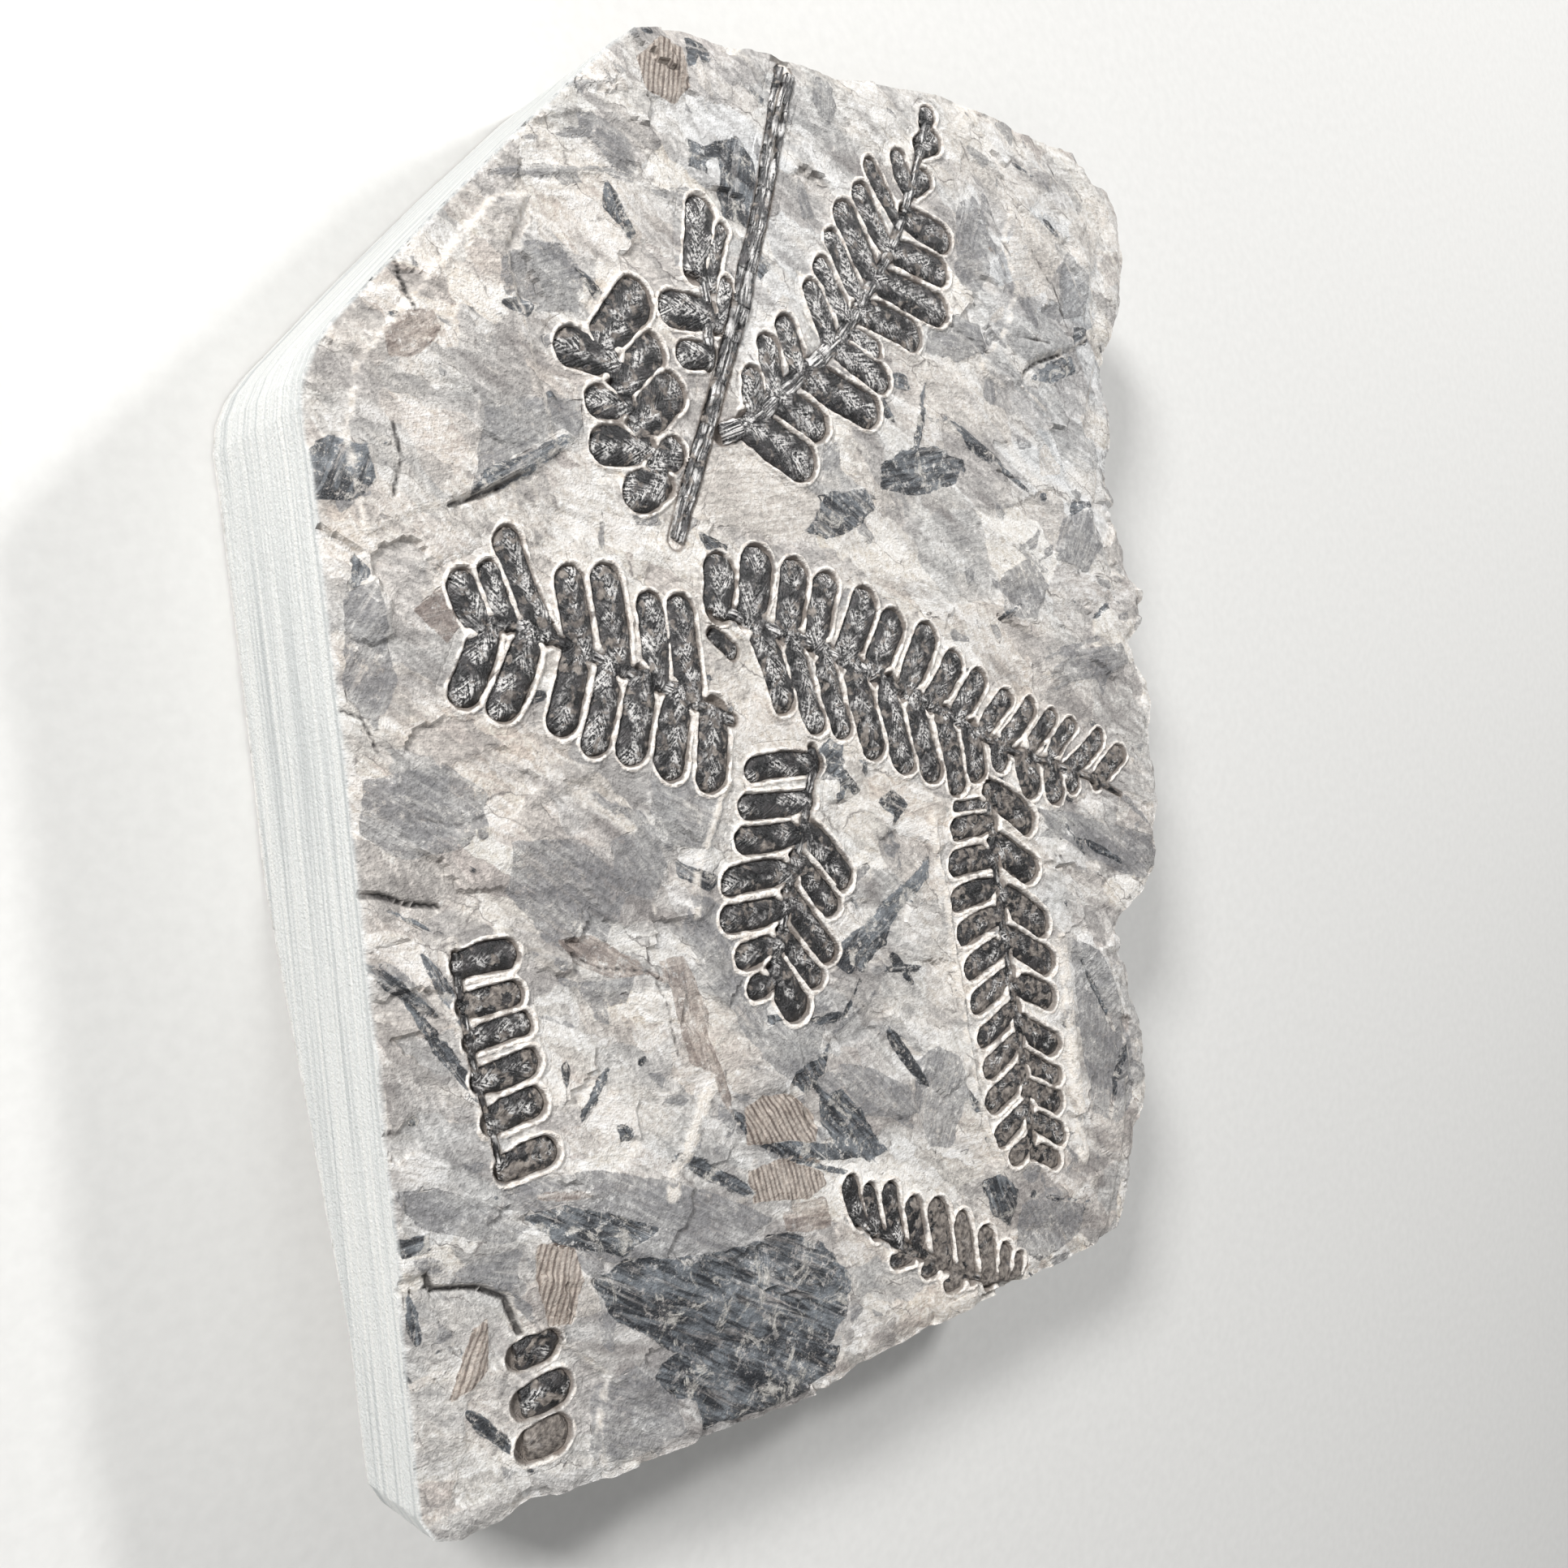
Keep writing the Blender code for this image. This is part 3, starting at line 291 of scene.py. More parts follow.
            ((26, -90.4), (26.8, -86.8), 2.3), ((5, -80.4), (-0.6, -80.2), 2.5),
            ((10, -83.6), (5.2, -83), 2.6), ((14.6, -86.6), (9.6, -86.8), 2.8),
        ],
    },
    "loose_leaflet": {
        "rim": 0.4, "crest": 0.1, "painted_glint_share": (0.1, 0.1), "worn": (0.1, 0.1),
        "pinnules": [((-22.4, 12), (-18.6, 8.7), 1.9)],
    },
    "leaflet_upper": {
        "rim": 0.45, "crest": 0.1, "painted_glint_share": (0.1, 0.1), "worn": (0.1, 0.1),
        "pinnules": [((-61.4, -73.8), (-56, -73.2), 3.5)],
    },
    "leaflet_middle": {
        "rim": 0.45, "crest": 0.1, "painted_glint_share": (0.1, 0.1), "worn": (0.15, 0.15),
        "pinnules": [((-61.2, -79.6), (-54.6, -79), 4.1)],
    },
    "leaflet_lower": {
        "rim": 0.5, "crest": 0.0, "painted_glint_share": (0.1, 0.1), "worn": (0.95, 0.95),
        "pinnules": [((-61.2, -84.8), (-55.4, -84.4), 4.3)],
    },
}
# The stem's bed, in which its strands lie
IMPRINTS = {**FRONDS, "main_stem": {
    "half_width": (1.5, 1.4), "crest": 0.3, "painted_glint_share": (0.9, 0.6), "worn": (0.0, 0.1), "rachis": MAIN_STEM,
    "pinnules": [],
}}

# ------------------------------------------------------------------------------------------------
# Scraps of leaf on the face: tone, direction of their streaks in degrees, outline

SCRAPS = [
    ("slate", -33, [(-51, -67.5), (-45, -66.5), (-38, -67), (-33, -68.5), (-28, -70), (-23, -70), (-18, -71),
        (-13, -74), (-10, -77), (-8, -80), (-10, -85), (-14, -88), (-22, -86), (-30, -84), (-36, -82),
        (-40, -80), (-44, -76.5), (-48, -73.5)]),
    ("slate", -36, [(-39, -80.5), (-30, -84), (-21, -86), (-12, -89), (-14, -92), (-24, -93), (-36, -92),
        (-37, -88), (-41, -85.5), (-44, -83)]),
    ("slate", -30, [(-24.5, -70), (-20, -70.4), (-15, -73), (-11.5, -76.4), (-11, -79.4), (-16, -79),
        (-20, -75.4), (-24, -74)]),
    ("ash", -30, [(-52, -81), (-46, -80), (-40, -86), (-39, -91), (-46, -92), (-53, -90)]),
    ("ash", -38, [(-62, -53), (-55, -54), (-48, -57.6), (-40, -61.6), (-42, -63.4), (-50, -60.5),
        (-58, -57.6), (-62, -55.4)]),
    ("ash", -40, [(-75.5, -50), (-70, -51), (-64, -54), (-58, -58.6), (-61, -60), (-67, -58), (-73, -54.4)]),
    ("slate", -45, [(-27, -51.5), (-23, -54.6), (-16, -58.4), (-8, -61), (-2, -61.6), (-3, -64), (-11, -62.6),
        (-19, -60), (-25, -55.4)]),
    ("slate", -60, [(-20, -40), (-14, -41), (-8, -46), (-10, -51), (-14, -52.6), (-18, -47)]),
    ("fan", 70, [(-58, -61), (-53, -62), (-52, -67), (-54, -72), (-57.5, -71), (-58.5, -66)]),
    ("fan", 60, [(-71, -76), (-67, -68.5), (-65, -68), (-65.5, -74), (-68, -75.5)]),
    ("fan", -65, [(-25, -52), (-21, -51), (-16, -52), (-12, -56), (-13, -59.5), (-18, -58), (-22, -57.5),
        (-25, -57)]),
    ("fan", -80, [(-25, -60.5), (-18, -60), (-12.5, -62), (-11.5, -66), (-15, -67), (-21, -65.5),
        (-25, -65)]),
    ("ash", -50, [(-12, -51), (-6, -50), (0, -52), (6, -56), (8, -60), (4, -60), (-3, -58), (-9, -57)]),
    ("slate", -50, [(-11, -54), (-7, -53), (-4, -57), (-2, -61), (1, -64), (-3, -65), (-8, -62), (-11, -59)]),
    ("ash", 28, [(-57, 30), (-56, 33), (-54, 40), (-48, 42), (-40, 42), (-40, 38), (-46, 34), (-52, 31)]),
    ("slate", 28, [(-57, 29.6), (-52, 30.6), (-46, 33.6), (-41, 37), (-43, 38), (-49, 35), (-55, 32.5)]),
    ("ash", 20, [(-50, 54), (-45, 52.5), (-39, 53), (-38, 58), (-41, 61.5), (-46, 61), (-50, 58.5)]),
    ("slate", 10, [(-51, 53), (-48, 54.5), (-45, 53.6), (-47, 51.6)]),
    ("slate", 80, [(-14, 69), (-9, 68), (-7, 72), (-7.5, 78), (-10, 80.5), (-13.5, 79), (-14, 74)]),
    ("slate", 80, [(-19, 75), (-16, 74.5), (-16, 78), (-19, 79)]),
    ("fan", 78, [(-25, 84), (-20, 83), (-17.5, 86), (-18, 91), (-22, 91.5), (-26, 88)]),
    ("ash", 80, [(5, 92), (8.6, 92.6), (9.5, 88), (8, 85.5), (5.6, 86.5), (4.4, 89)]),
    ("umber", 30, [(-66, 45), (-62, 45.5), (-59, 49), (-60, 51.5), (-64, 50.5), (-66.5, 48)]),
    ("slate", 60, [(-77, 29), (-72, 28.5), (-69, 31), (-69.5, 35), (-74, 36), (-77, 34)]),
    ("ash", 15, [(32, 65), (36, 64), (40, 66.5), (40, 71), (36, 74), (33, 71)]),
    ("ash", -5, [(24, 54), (31, 53), (37, 55), (37, 59.5), (30, 60.5), (25, 57.5)]),
    ("slate", -35, [(-4.5, 26), (0, 25), (6, 27), (10, 30), (8, 32.5), (2, 32), (-3, 30)]),
    ("slate", 12, [(12, 33), (20, 32), (28, 34), (30, 37.5), (24, 39.5), (16, 38.5), (12, 36)]),
    ("ash", 5, [(45, 3), (52, 1.6), (60, 2.6), (68, 4.5), (66, 8), (58, 7.6), (50, 6.5)]),
    ("ash", -38, [(40, -18), (48, -19.5), (58, -22), (70, -26), (72, -31), (66, -33), (58, -30), (50, -26),
        (43, -22)]),
    ("slate", 50, [(-4, -36), (0, -31), (6, -27.5), (8, -29), (4, -33.5), (-1, -37.5)]),
    ("ash", 35, [(46, -40), (52, -43), (57, -50), (60, -60), (60, -70), (54, -73), (48, -70), (46.5, -58),
        (46, -48)]),
    ("slate", 72, [(-72, 14), (-70.6, 17), (-70.8, 21), (-72.4, 23), (-73.6, 19), (-73.2, 15.5)]),
    ("slate", 30, [(46, 51.4), (52, 54.6), (59, 56.8), (60, 54), (53, 51)]),
    ("slate", 20, [(59, 58), (63, 59), (63.4, 61.4), (60, 61)]),
    ("slate", -30, [(29, 42.5), (33, 41), (37, 38.2), (36, 37.6), (31, 40)]),
    ("slate", 0, [(-75.5, -55.5), (-71.5, -55.6), (-71.6, -57.5), (-75.5, -57.4)]),
    ("ash", -35, [(-74, -3), (-64, -2), (-58, -6), (-62, -12), (-70, -13), (-75, -9)]),
    ("ash", -40, [(-56, -12), (-46, -13), (-40, -20), (-44, -27), (-52, -25), (-57, -18)]),
    ("ash", 30, [(56, 62), (64, 64), (66, 72), (62, 76), (57, 71)]),
    ("ash", -20, [(-70, -62), (-66, -60), (-60, -61), (-61, -65), (-66, -63)]),
    ("ash", 60, [(50, 22), (58, 20), (64, 26), (60, 31), (53, 29)]),
    ("ash", -60, [(36, 14), (44, 12), (48, 18), (44, 23), (37, 20)]),
    ("bare", 5, [(-20, 37), (-14, 38), (-9, 35), (-3, 32), (0, 31), (-2, 28), (-6, 24.5), (-14, 26),
        (-24, 27.5)]),
    ("ash", 40, [(0, 35), (1, 38.5), (3.5, 38.8), (4, 36), (2, 34.5)]),
    ("slate", 28, [(-8, -34), (0, -30.5), (8, -26), (15, -22.5), (14.5, -26), (4, -32.6), (-4, -37)]),
    ("umber", -35, [(-51, -25), (-46, -25), (-40, -29), (-37.6, -31.4), (-44, -31), (-49, -28)]),
    ("ash", -55, [(-30, -22), (-26, -24), (-18, -38), (-21, -43), (-28, -36), (-32, -28)]),
    ("umber", -80, [(-36, -30), (-32, -30), (-29, -38), (-30, -46), (-33, -44)]),
    ("slate", -60, [(-45, -49.5), (-43, -50), (-43, -52), (-44.5, -51.6)]),
    ("ash", -35, [(-62, -52), (-50, -54), (-38, -58), (-28, -64), (-22, -68), (-30, -70), (-48, -66),
        (-56, -60)]),
    ("slate", -33, [(-60, -57), (-54, -57), (-46, -61), (-40, -64), (-46, -65.5), (-55, -62)]),
    ("ash", -50, [(-20, -42), (-14, -41), (-9, -44), (-10, -48), (-16, -49), (-21, -46)]),
    ("ash", 60, [(8, -53), (13, -51), (18, -54), (18.6, -60), (14, -67), (9, -66), (7.6, -59)]),
    ("umber", -10, [(-20, -67), (-12, -67.5), (-11, -72), (-16, -71.5), (-20, -70)]),
    ("slate", -70, [(20, -74), (24, -73), (27, -77), (25, -82), (21, -79)]),
    ("ash", -60, [(28, -80), (36, -79), (44, -82), (42, -88), (32, -90), (26, -86)]),
    ("ash", 80, [(48, -50), (54, -52), (56, -62), (54, -70), (49, -70), (47.6, -60)]),
    ("slate", -10, [(24, -42.6), (25, -41), (27, -41.4), (26.4, -43)]),
    ("bare", 10, [(46, 64), (52, 66), (58, 72), (56, 78), (48, 79), (44, 72)]),
    ("ash", 65, [(33, 72), (37, 70), (41, 76), (38, 80), (34, 78)]),
    ("bare", -60, [(60, 78), (66, 82), (70, 78), (68, 72), (62, 72)]),
    ("ash", -30, [(-34, -3), (-22, -9), (-26, -17), (-36, -15)]),
    ("ash", -55, [(-42, -14), (-36, -12), (-33, -18), (-36, -22), (-41, -20)]),
    ("ash", 55, [(-74, 18), (-70, 20), (-69, 8), (-72, 2), (-75, 6)]),
    ("umber", 10, [(-66, 16), (-60, 20), (-58, 16), (-62, 12)]),
]
# Broad dark and pale areas of the face: centre, radius, strength
SHADES = [
    ((-48, 48), 10, -0.5), ((-45, 35), 7, -0.5), ((-73, 32), 5, -0.5), ((-22, 60), 9, -0.5),
    ((-10, 73), 7, -0.5), ((9, 48), 7, -0.5), ((13, 73), 9, -0.5), ((57, 56), 8, -0.45),
    ((-45, -13), 14, -0.75), ((-72, -22), 7, -0.5), ((-34, -24), 8, -0.4), ((0, -30), 9, -0.5),
    ((56, -26), 12, -0.85), ((52, -9), 9, -0.6), ((52, -60), 9, -0.75), ((10, -62), 8, -0.6),
    ((-4, -55), 8, -0.7), ((-16, -46), 8, -0.6), ((-38, -72), 15, -0.9), ((-28, -86), 14, -0.9),
    ((44, -86), 13, -0.6), ((62, 8), 9, -0.35), ((4, 29), 6, -0.4), ((-73, 3), 7, -0.45),
    ((-68, -58), 8, -0.4), ((22, 34), 7, -0.25), ((-60, 8), 9, -0.3), ((64, -8), 8, -0.5),
    ((40, 92), 13, 0.7), ((71, 82), 8, 0.5), ((32, 48), 8, 0.9), ((4, 79), 7, 0.5), ((-50, 70), 12, 0.4),
    ((-64, 55), 9, 0.5), ((-12, 33), 9, 0.3), ((52, 24), 14, 0.25), ((-20, 5), 4, 0.7), ((1, -11), 6, 0.7),
    ((10, -45), 9, 0.5), ((-45, -48), 10, 0.5), ((-66, 24), 8, 0.5), ((44, -58), 4, 0.7),
    ((-60, -16), 5, 0.4), ((-68, -86), 8, 0.4), ((-37, -58), 6, 0.4),
]
# Bluish areas of the face: centre, radius, strength
CHILLS = [
    ((52, 68), 26, 1.0), ((56, 30), 24, 0.7), ((-4, 60), 26, 0.6), ((-34, -76), 22, 0.9),
    ((50, -40), 24, 0.5), ((-8, -52), 14, 0.7), ((-66, -50), 14, 0.6), ((-30, -20), 18, 0.4),
    ((-10, 84), 16, 0.6),
]
# Thin leaf slivers and sticks: tone, start, end, width
SLIVERS = [
    ("slate", (-69, -77.5), (-61, -88), 1.5), ("slate", (-75, -61), (-74, -68), 1.6),
    ("slate", (-37, -56), (-24, -64), 1.4), ("ash", (-50, 69), (-34, 72), 1.4),
    ("ash", (-36, 72), (-27, 71.6), 1.2), ("slate", (22, 43.8), (29.5, 43), 1.0),
    ("slate", (19.5, 38.5), (23.6, 50), 1.5), ("slate", (5, -36), (9, -41), 1.0),
    ("slate", (3, -47), (9, -56), 1.2), ("slate", (-16.5, -49), (-13, -53), 0.9),
    ("slate", (-70, -22), (-63, -36), 2.2), ("ash", (-74, -24), (-68, -31), 1.6),
    ("umber", (-58, -55), (-50, -57), 1.2), ("ash", (-25, -38), (-16, -50), 3.0),
    ("umber", (-30, -42), (-27, -52), 1.8), ("slate", (58, 12), (66, 16), 1.0),
    ("slate", (-50, -48), (-45.5, -42), 1.4), ("slate", (2, -38), (12, -39), 0.7),
    ("slate", (-6, -45), (-2, -38.5), 0.7), ("ash", (-10, -46.5), (1, -41), 0.8),
    ("slate", (-3, -25), (4, -34), 0.8), ("slate", (10, -30), (17, -28), 0.7),
    ("slate", (2.6, -46), (10.5, -57), 1.3), ("ash", (-9, -50), (6, -62), 1.1),
    ("slate", (-8, -57), (-1, -66), 1.5), ("slate", (-13, -50), (-5, -61), 1.2),
    ("slate", (-37, -55), (-29, -60), 1.5), ("slate", (-30, -60), (-24.6, -63.6), 1.9),
    ("slate", (-19, -60), (-6, -66), 1.0), ("slate", (-73, -18), (-66, -22), 0.9),
    ("slate", (-76, -24), (-68, -31), 1.3), ("slate", (-72, -28), (-62, -45), 1.5),
    ("ash", (-56, -33), (-50, -36), 0.8), ("umber", (-40, -30), (-35, -33), 0.9),
    ("slate", (-18, 76), (-12, 79), 1.6), ("ash", (-45, 74), (-34, 77), 0.9),
    ("ash", (-38, 82), (-30, 84), 0.8), ("ash", (38, 78), (44, 68), 0.9), ("slate", (48, 87), (53, 85), 0.8),
    ("slate", (54, 79), (58, 76), 0.7), ("ash", (38, 60), (46, 52), 0.9),
    ("slate", (25, 45), (37, 38.5), 1.3), ("slate", (36, 39), (45, 33), 1.0), ("ash", (45, 6), (60, 9), 1.0),
    ("slate", (33, 12), (41, 15), 0.8), ("ash", (44, 0), (58, 4), 0.8), ("slate", (46, -20), (52, -28), 0.7),
    ("slate", (50, -24), (60, -29), 0.7), ("ash", (44, -26), (50, -34), 0.8),
    ("ash", (60, -16), (70, -24), 0.9), ("slate", (48, -44), (56, -58), 0.8),
    ("slate", (52, -72), (58, -60), 0.8), ("ash", (22, -84), (34, -90), 1.0),
    ("slate", (34, -80), (46, -84), 0.8), ("ash", (-56, 88), (-50, 84), 0.8),
]
SCRAPS_STREWN = 620  # small scraps of leaf strewn over the face
STREWN_TONES = (("ash", 0.6), ("umber", 0.63), ("slate", 0.82), ("bare", 1.0))  # running share of each
FACETS = 520  # facets that the face split along
FACET_SHARES = (0.36, 0.28, 0.24)  # share of them that is cool, dim or pale
LIE = -28  # direction in which most scraps and facets lie, in degrees


def linear(code):
    """Turns an sRGB hex colour into linear RGBA."""
    parts = [int(code[place:place + 2], 16) / 255 for place in (0, 2, 4)]
    return [part / 12.92 if part <= 0.04045 else ((part + 0.055) / 1.055) ** 2.4 for part in parts] + [1.0]


# ------------------------------------------------------------------------------------------------
# Shapes on the plan, in millimetres. Each function takes arrays of X and Y.

def smooth(low, high, value):
    """Goes softly from 0 at low to 1 at high."""
    share = np.clip((value - low) / (high - low), 0, 1)
    return share * share * (3 - 2 * share)


def cloud(x, y, z, size, seed, octaves=3):
    """Seeded noise of about -1 to 1 with lumps of that size."""
    shift = Vector((seed * 17.3, seed * 5.1, seed * 9.7))
    points = np.column_stack([x, y, np.broadcast_to(z, x.shape)]) / size
    return np.array([noise.fractal(Vector(point) + shift, 0.7, 2.0, octaves) for point in points])


def to_segment(x, y, start, end):
    """Distance to a segment, and the share of the way along it."""
    ax, ay = start
    bx, by = end[0] - ax, end[1] - ay
    along = np.clip(((x - ax) * bx + (y - ay) * by) / (bx * bx + by * by), 0, 1)
    return np.hypot(x - ax - along * bx, y - ay - along * by), along


def to_line(x, y, line):
    """Distance to a line of several segments."""
    return np.min([to_segment(x, y, start, end)[0] for start, end in zip(line, line[1:])], axis=0)


def to_side(x, y, line):
    """Distance to a line, positive on its left side."""
    best, side = np.full(x.shape, 1e9), np.ones(x.shape)
    for start, end in zip(line, line[1:]):
        away = to_segment(x, y, start, end)[0]
        left = (end[0] - start[0]) * (y - start[1]) - (end[1] - start[1]) * (x - start[0])
        side = np.where(away < best, np.sign(left), side)
        best = np.minimum(best, away)
    return best * side


def to_outline(x, y, outline):
    """Signed distance to a closed outline, negative inside."""
    inside = np.zeros(x.shape, bool)
    for (ax, ay), (bx, by) in zip(outline, outline[1:] + outline[:1]):
        crosses = (ay > y) != (by > y)
        inside ^= crosses & (x < ax + (bx - ax) * (y - ay) / (by - ay + 1e-12))
    return to_line(x, y, outline + outline[:1]) * np.where(inside, -1, 1)


def body_of(share, width):
    """Half-width of a pinnule that share of the way along, but for its round end."""
    return (width / 2 + SPREAD) * (0.86 + 0.14 * smooth(0, 0.35, share))


def bend_of(foot, tip):
    """Sideways bow of a pinnule against its length, the same at every run."""
    return 0.045 * math.sin(foot[0] * 1.7 + tip[1] * 2.3)


def from_foot(x, y, foot, tip):
    """How far each point lies along the way from foot to tip, and how far to the left of it."""
    length = math.dist(foot, tip)
    wx, wy = (tip[0] - foot[0]) / length, (tip[1] - foot[1]) / length
    return (x - foot[0]) * wx + (y - foot[1]) * wy, (y - foot[1]) * wx - (x - foot[0]) * wy


def to_pinnule(x, y, pin):
    """Signed distance to a pinnule's outline, negative inside."""
    foot, tip, width = pin
    length = math.dist(foot, tip)
    along, across = from_foot(x, y, foot, tip)
    share = np.clip(along / length, 0, 1)
    across = across - bend_of(foot, tip) * length * 4 * share * (1 - share)
    round_end = min(width / 2 + SPREAD / 2, length * 0.45)
    past = np.maximum(along - length + round_end, 0) + np.maximum(-along, 0)
    return np.hypot(across, past) - body_of(share, width)


def to_rachis(x, y, frond):
    """Signed distance to the edge of a frond's rachis, no more than FAR."""
    line, (first, last) = frond["rachis"], frond["half_width"]
    pieces = len(line) - 1
    away = np.full(x.shape, FAR)
    for number, (start, end) in enumerate(zip(line, line[1:])):
        spot = close_to(x, y, (start, end), FAR + 2)
        reach, along = to_segment(x[spot], y[spot], start, end)
        away[spot] = np.minimum(away[spot], reach - first - (last - first) * (number + along) / pieces)
    return away


def to_film(x, y, frond):
    """Signed distance to a frond's film, and to the hollows of its pinnules, which a ridge keeps apart where
    two of them meet. No more than FAR."""
    leaves, second = np.full(x.shape, FAR), np.full(x.shape, FAR)
    for pin in frond["pinnules"]:
        spot = close_to(x, y, pin[:2], FAR + 3.2)
        away = to_pinnule(x[spot], y[spot], pin)
        second[spot] = np.minimum(second[spot], np.maximum(leaves[spot], away))
        leaves[spot] = np.minimum(leaves[spot], away)
    film = np.minimum(leaves, to_rachis(x, y, frond)) if "rachis" in frond else leaves
    return film, np.maximum(leaves, (leaves - second) / 2 + RIM_MIDDLE)


def close_to(x, y, outline, reach):
    """Which points lie in the outline's box or that close to it."""
    xs, ys = zip(*outline)
    return np.flatnonzero((x > min(xs) - reach) & (x < max(xs) + reach)
                          & (y > min(ys) - reach) & (y < max(ys) + reach))


def level(x, y):
    """Height of the bedding plane against the face: broad swells, flakes and bands."""
    height = 0.16 * cloud(x, y, 0.0, 34, 1, 2)
    for outline, rise, slope in FLAKES:
        height += rise * smooth(slope * 0.5, -slope * 0.5, to_outline(x, y, outline))
    for line, radius, rise in BANDS:
        height += rise * smooth(radius * 1.5, radius * 0.4, to_line(x, y, line))
    for line, rise, fade in LEDGES:
        spot = close_to(x, y, line, fade)
        away = to_line(x[spot], y[spot], line)
        height[spot] += rise * smooth(fade, 0, away) * smooth(-0.35, 0.35, to_side(x[spot], y[spot], line))
    return height


# ------------------------------------------------------------------------------------------------
# Blender helpers

def deselect():
    """Leaves edit mode and deselects everything."""
    if bpy.context.mode != "OBJECT":
        bpy.ops.object.mode_set(mode="OBJECT")
    bpy.ops.object.select_all(action="DESELECT")


def only(thing):
    """Makes this the one selected and active object."""
    deselect()
    thing.select_set(True)
    bpy.context.view_layer.objects.active = thing
    return thing


def pick_faces(thing, wanted):
    """Enters edit mode with just these faces selected."""
    only(thing)
    bpy.ops.object.mode_set(mode="EDIT")
    bpy.ops.mesh.select_mode(type="FACE")
    bpy.ops.mesh.select_all(action="DESELECT")
    bpy.ops.object.mode_set(mode="OBJECT")
    thing.data.polygons.foreach_set("select", wanted)
    bpy.ops.object.mode_set(mode="EDIT")


def finish_modifier(thing, kind, **settings):
    """Adds a modifier with its settings and applies it."""
    only(thing)
    modifier = thing.modifiers.new(kind.lower(), kind)
    for name, value in settings.items():
        setattr(modifier, name, value)
    bpy.ops.object.modifier_apply(modifier=modifier.name)


def grid(cells, location, size=1):
    """A flat grid of cells with its size and place applied, as the one selected object."""
    deselect()
    bpy.ops.mesh.primitive_grid_add(x_subdivisions=cells[0], y_subdivisions=cells[1], size=size,
                                    location=location)
    bpy.ops.object.transform_apply(location=True, rotation=True, scale=True)
    return bpy.context.object


def close_shell():
    """Turns every face of the mesh in edit mode outwards and leaves edit mode."""
    bpy.ops.mesh.select_all(action="SELECT")
    bpy.ops.mesh.normals_make_consistent(inside=False)
    bpy.ops.object.mode_set(mode="OBJECT")


def read(items, key, columns=1, kind=float):
    """One property of all the mesh's points, faces or corners, as an array."""
    values = np.empty(len(items) * columns, kind)
    items.foreach_get(key, values)
    return values.reshape(-1, columns) if columns > 1 else values


def corners_of(thing):
    """The mesh's points in millimetres, as three columns."""
    return read(thing.data.vertices, "co", 3) / MM


def place_corners(thing, points):
    """Puts the mesh's points at these places in millimetres."""
    thing.data.vertices.foreach_set("co", (points * MM).ravel())
    thing.data.update()


def paint(thing, name, values):
    """Stores one number per point as an attribute that the materials read."""
    attribute = thing.data.attributes.new(name, "FLOAT", "POINT")
    attribute.data.foreach_set("value", np.asarray(values, np.float32))


def paint_top(thing, marks, top):
    """Stores each of the marks for the points on top."""
    for name, values in marks.items():
        whole = np.full(top.shape, NOWHERE)
        whole[top] = values
        paint(thing, name, whole)


def write_uv(mesh, name, along, across):
    """Stores two numbers per face corner, in millimetres, as a UV map."""
    layer = mesh.uv_layers.new(name=name)
    layer.data.foreach_set("uv", np.column_stack([along, across]).astype(np.float32).ravel())


def joined(pieces, name):
    """Joins the pieces into one mesh object of that name."""
    only(pieces[0])
    for piece in pieces:
        piece.select_set(True)
    if len(pieces) > 1:
        bpy.ops.object.join()
    whole = bpy.context.object
    whole.name = name
    whole.data.name = name
    return whole


def shade(thing, angle):
    """Smooth shading, with edges sharper than the angle kept sharp."""
    only(thing)
    bpy.ops.object.shade_smooth_by_angle(angle=math.radians(angle))


# ------------------------------------------------------------------------------------------------
# The slab

def walk(line, share):
    """Points at these shares of the way along a line."""
    line = np.array(line, float)
    steps = np.hypot(*np.diff(line, axis=0).T)
    far = np.concatenate([[0], np.cumsum(steps)])
    return np.column_stack([np.interp(share * far[-1], far, line[:, axis]) for axis in (0, 1)]), far[-1]


def face_plan(u, v):
    """Maps the unit square onto the plate's outline. Returns X, Y and the distance round the edge."""
    marks = [OUTLINE.index(corner) for corner in CORNERS] + [len(OUTLINE)]
    ring = OUTLINE + [OUTLINE[0]]
    sides = [ring[start:end + 1] for start, end in zip(marks, marks[1:])]
    left, left_length = walk(sides[0], v)
    top, top_length = walk(sides[1], u)
    right, right_length = walk(sides[2][::-1], v)
    bottom, bottom_length = walk(sides[3][::-1], u)
    a, d, c, b = (np.array(corner, float) for corner in CORNERS)
    u, v = u[:, None], v[:, None]
    plan = (1 - v) * bottom + v * top + (1 - u) * left + u * right
    plan -= (1 - u) * (1 - v) * a + u * (1 - v) * b + (1 - u) * v * d + u * v * c
    u, v = u[:, 0], v[:, 0]
    around = np.where(u < 1e-5, v * left_length, 0)
    around = np.where(v > 1 - 1e-5, left_length + u * top_length, around)
    around = np.where(u > 1 - 1e-5, left_length + top_length + (1 - v) * right_length, around)
    rest = left_length + top_length + right_length
    around = np.where((v < 1e-5) & (u > 1e-5), rest + (1 - u) * bottom_length, around)
    return plan[:, 0], plan[:, 1], around


def back_height(x, y):
    """Height of the plate's back, which rises at the lower left."""
    turn = math.radians(UNDERCUT_ANGLE)
    x0, y0 = UNDERCUT_START
    beyond = (x - x0) * math.sin(turn) - (y - y0) * math.cos(turn)
    return np.interp(beyond, UNDERCUT_RUN, UNDERCUT_RISE)


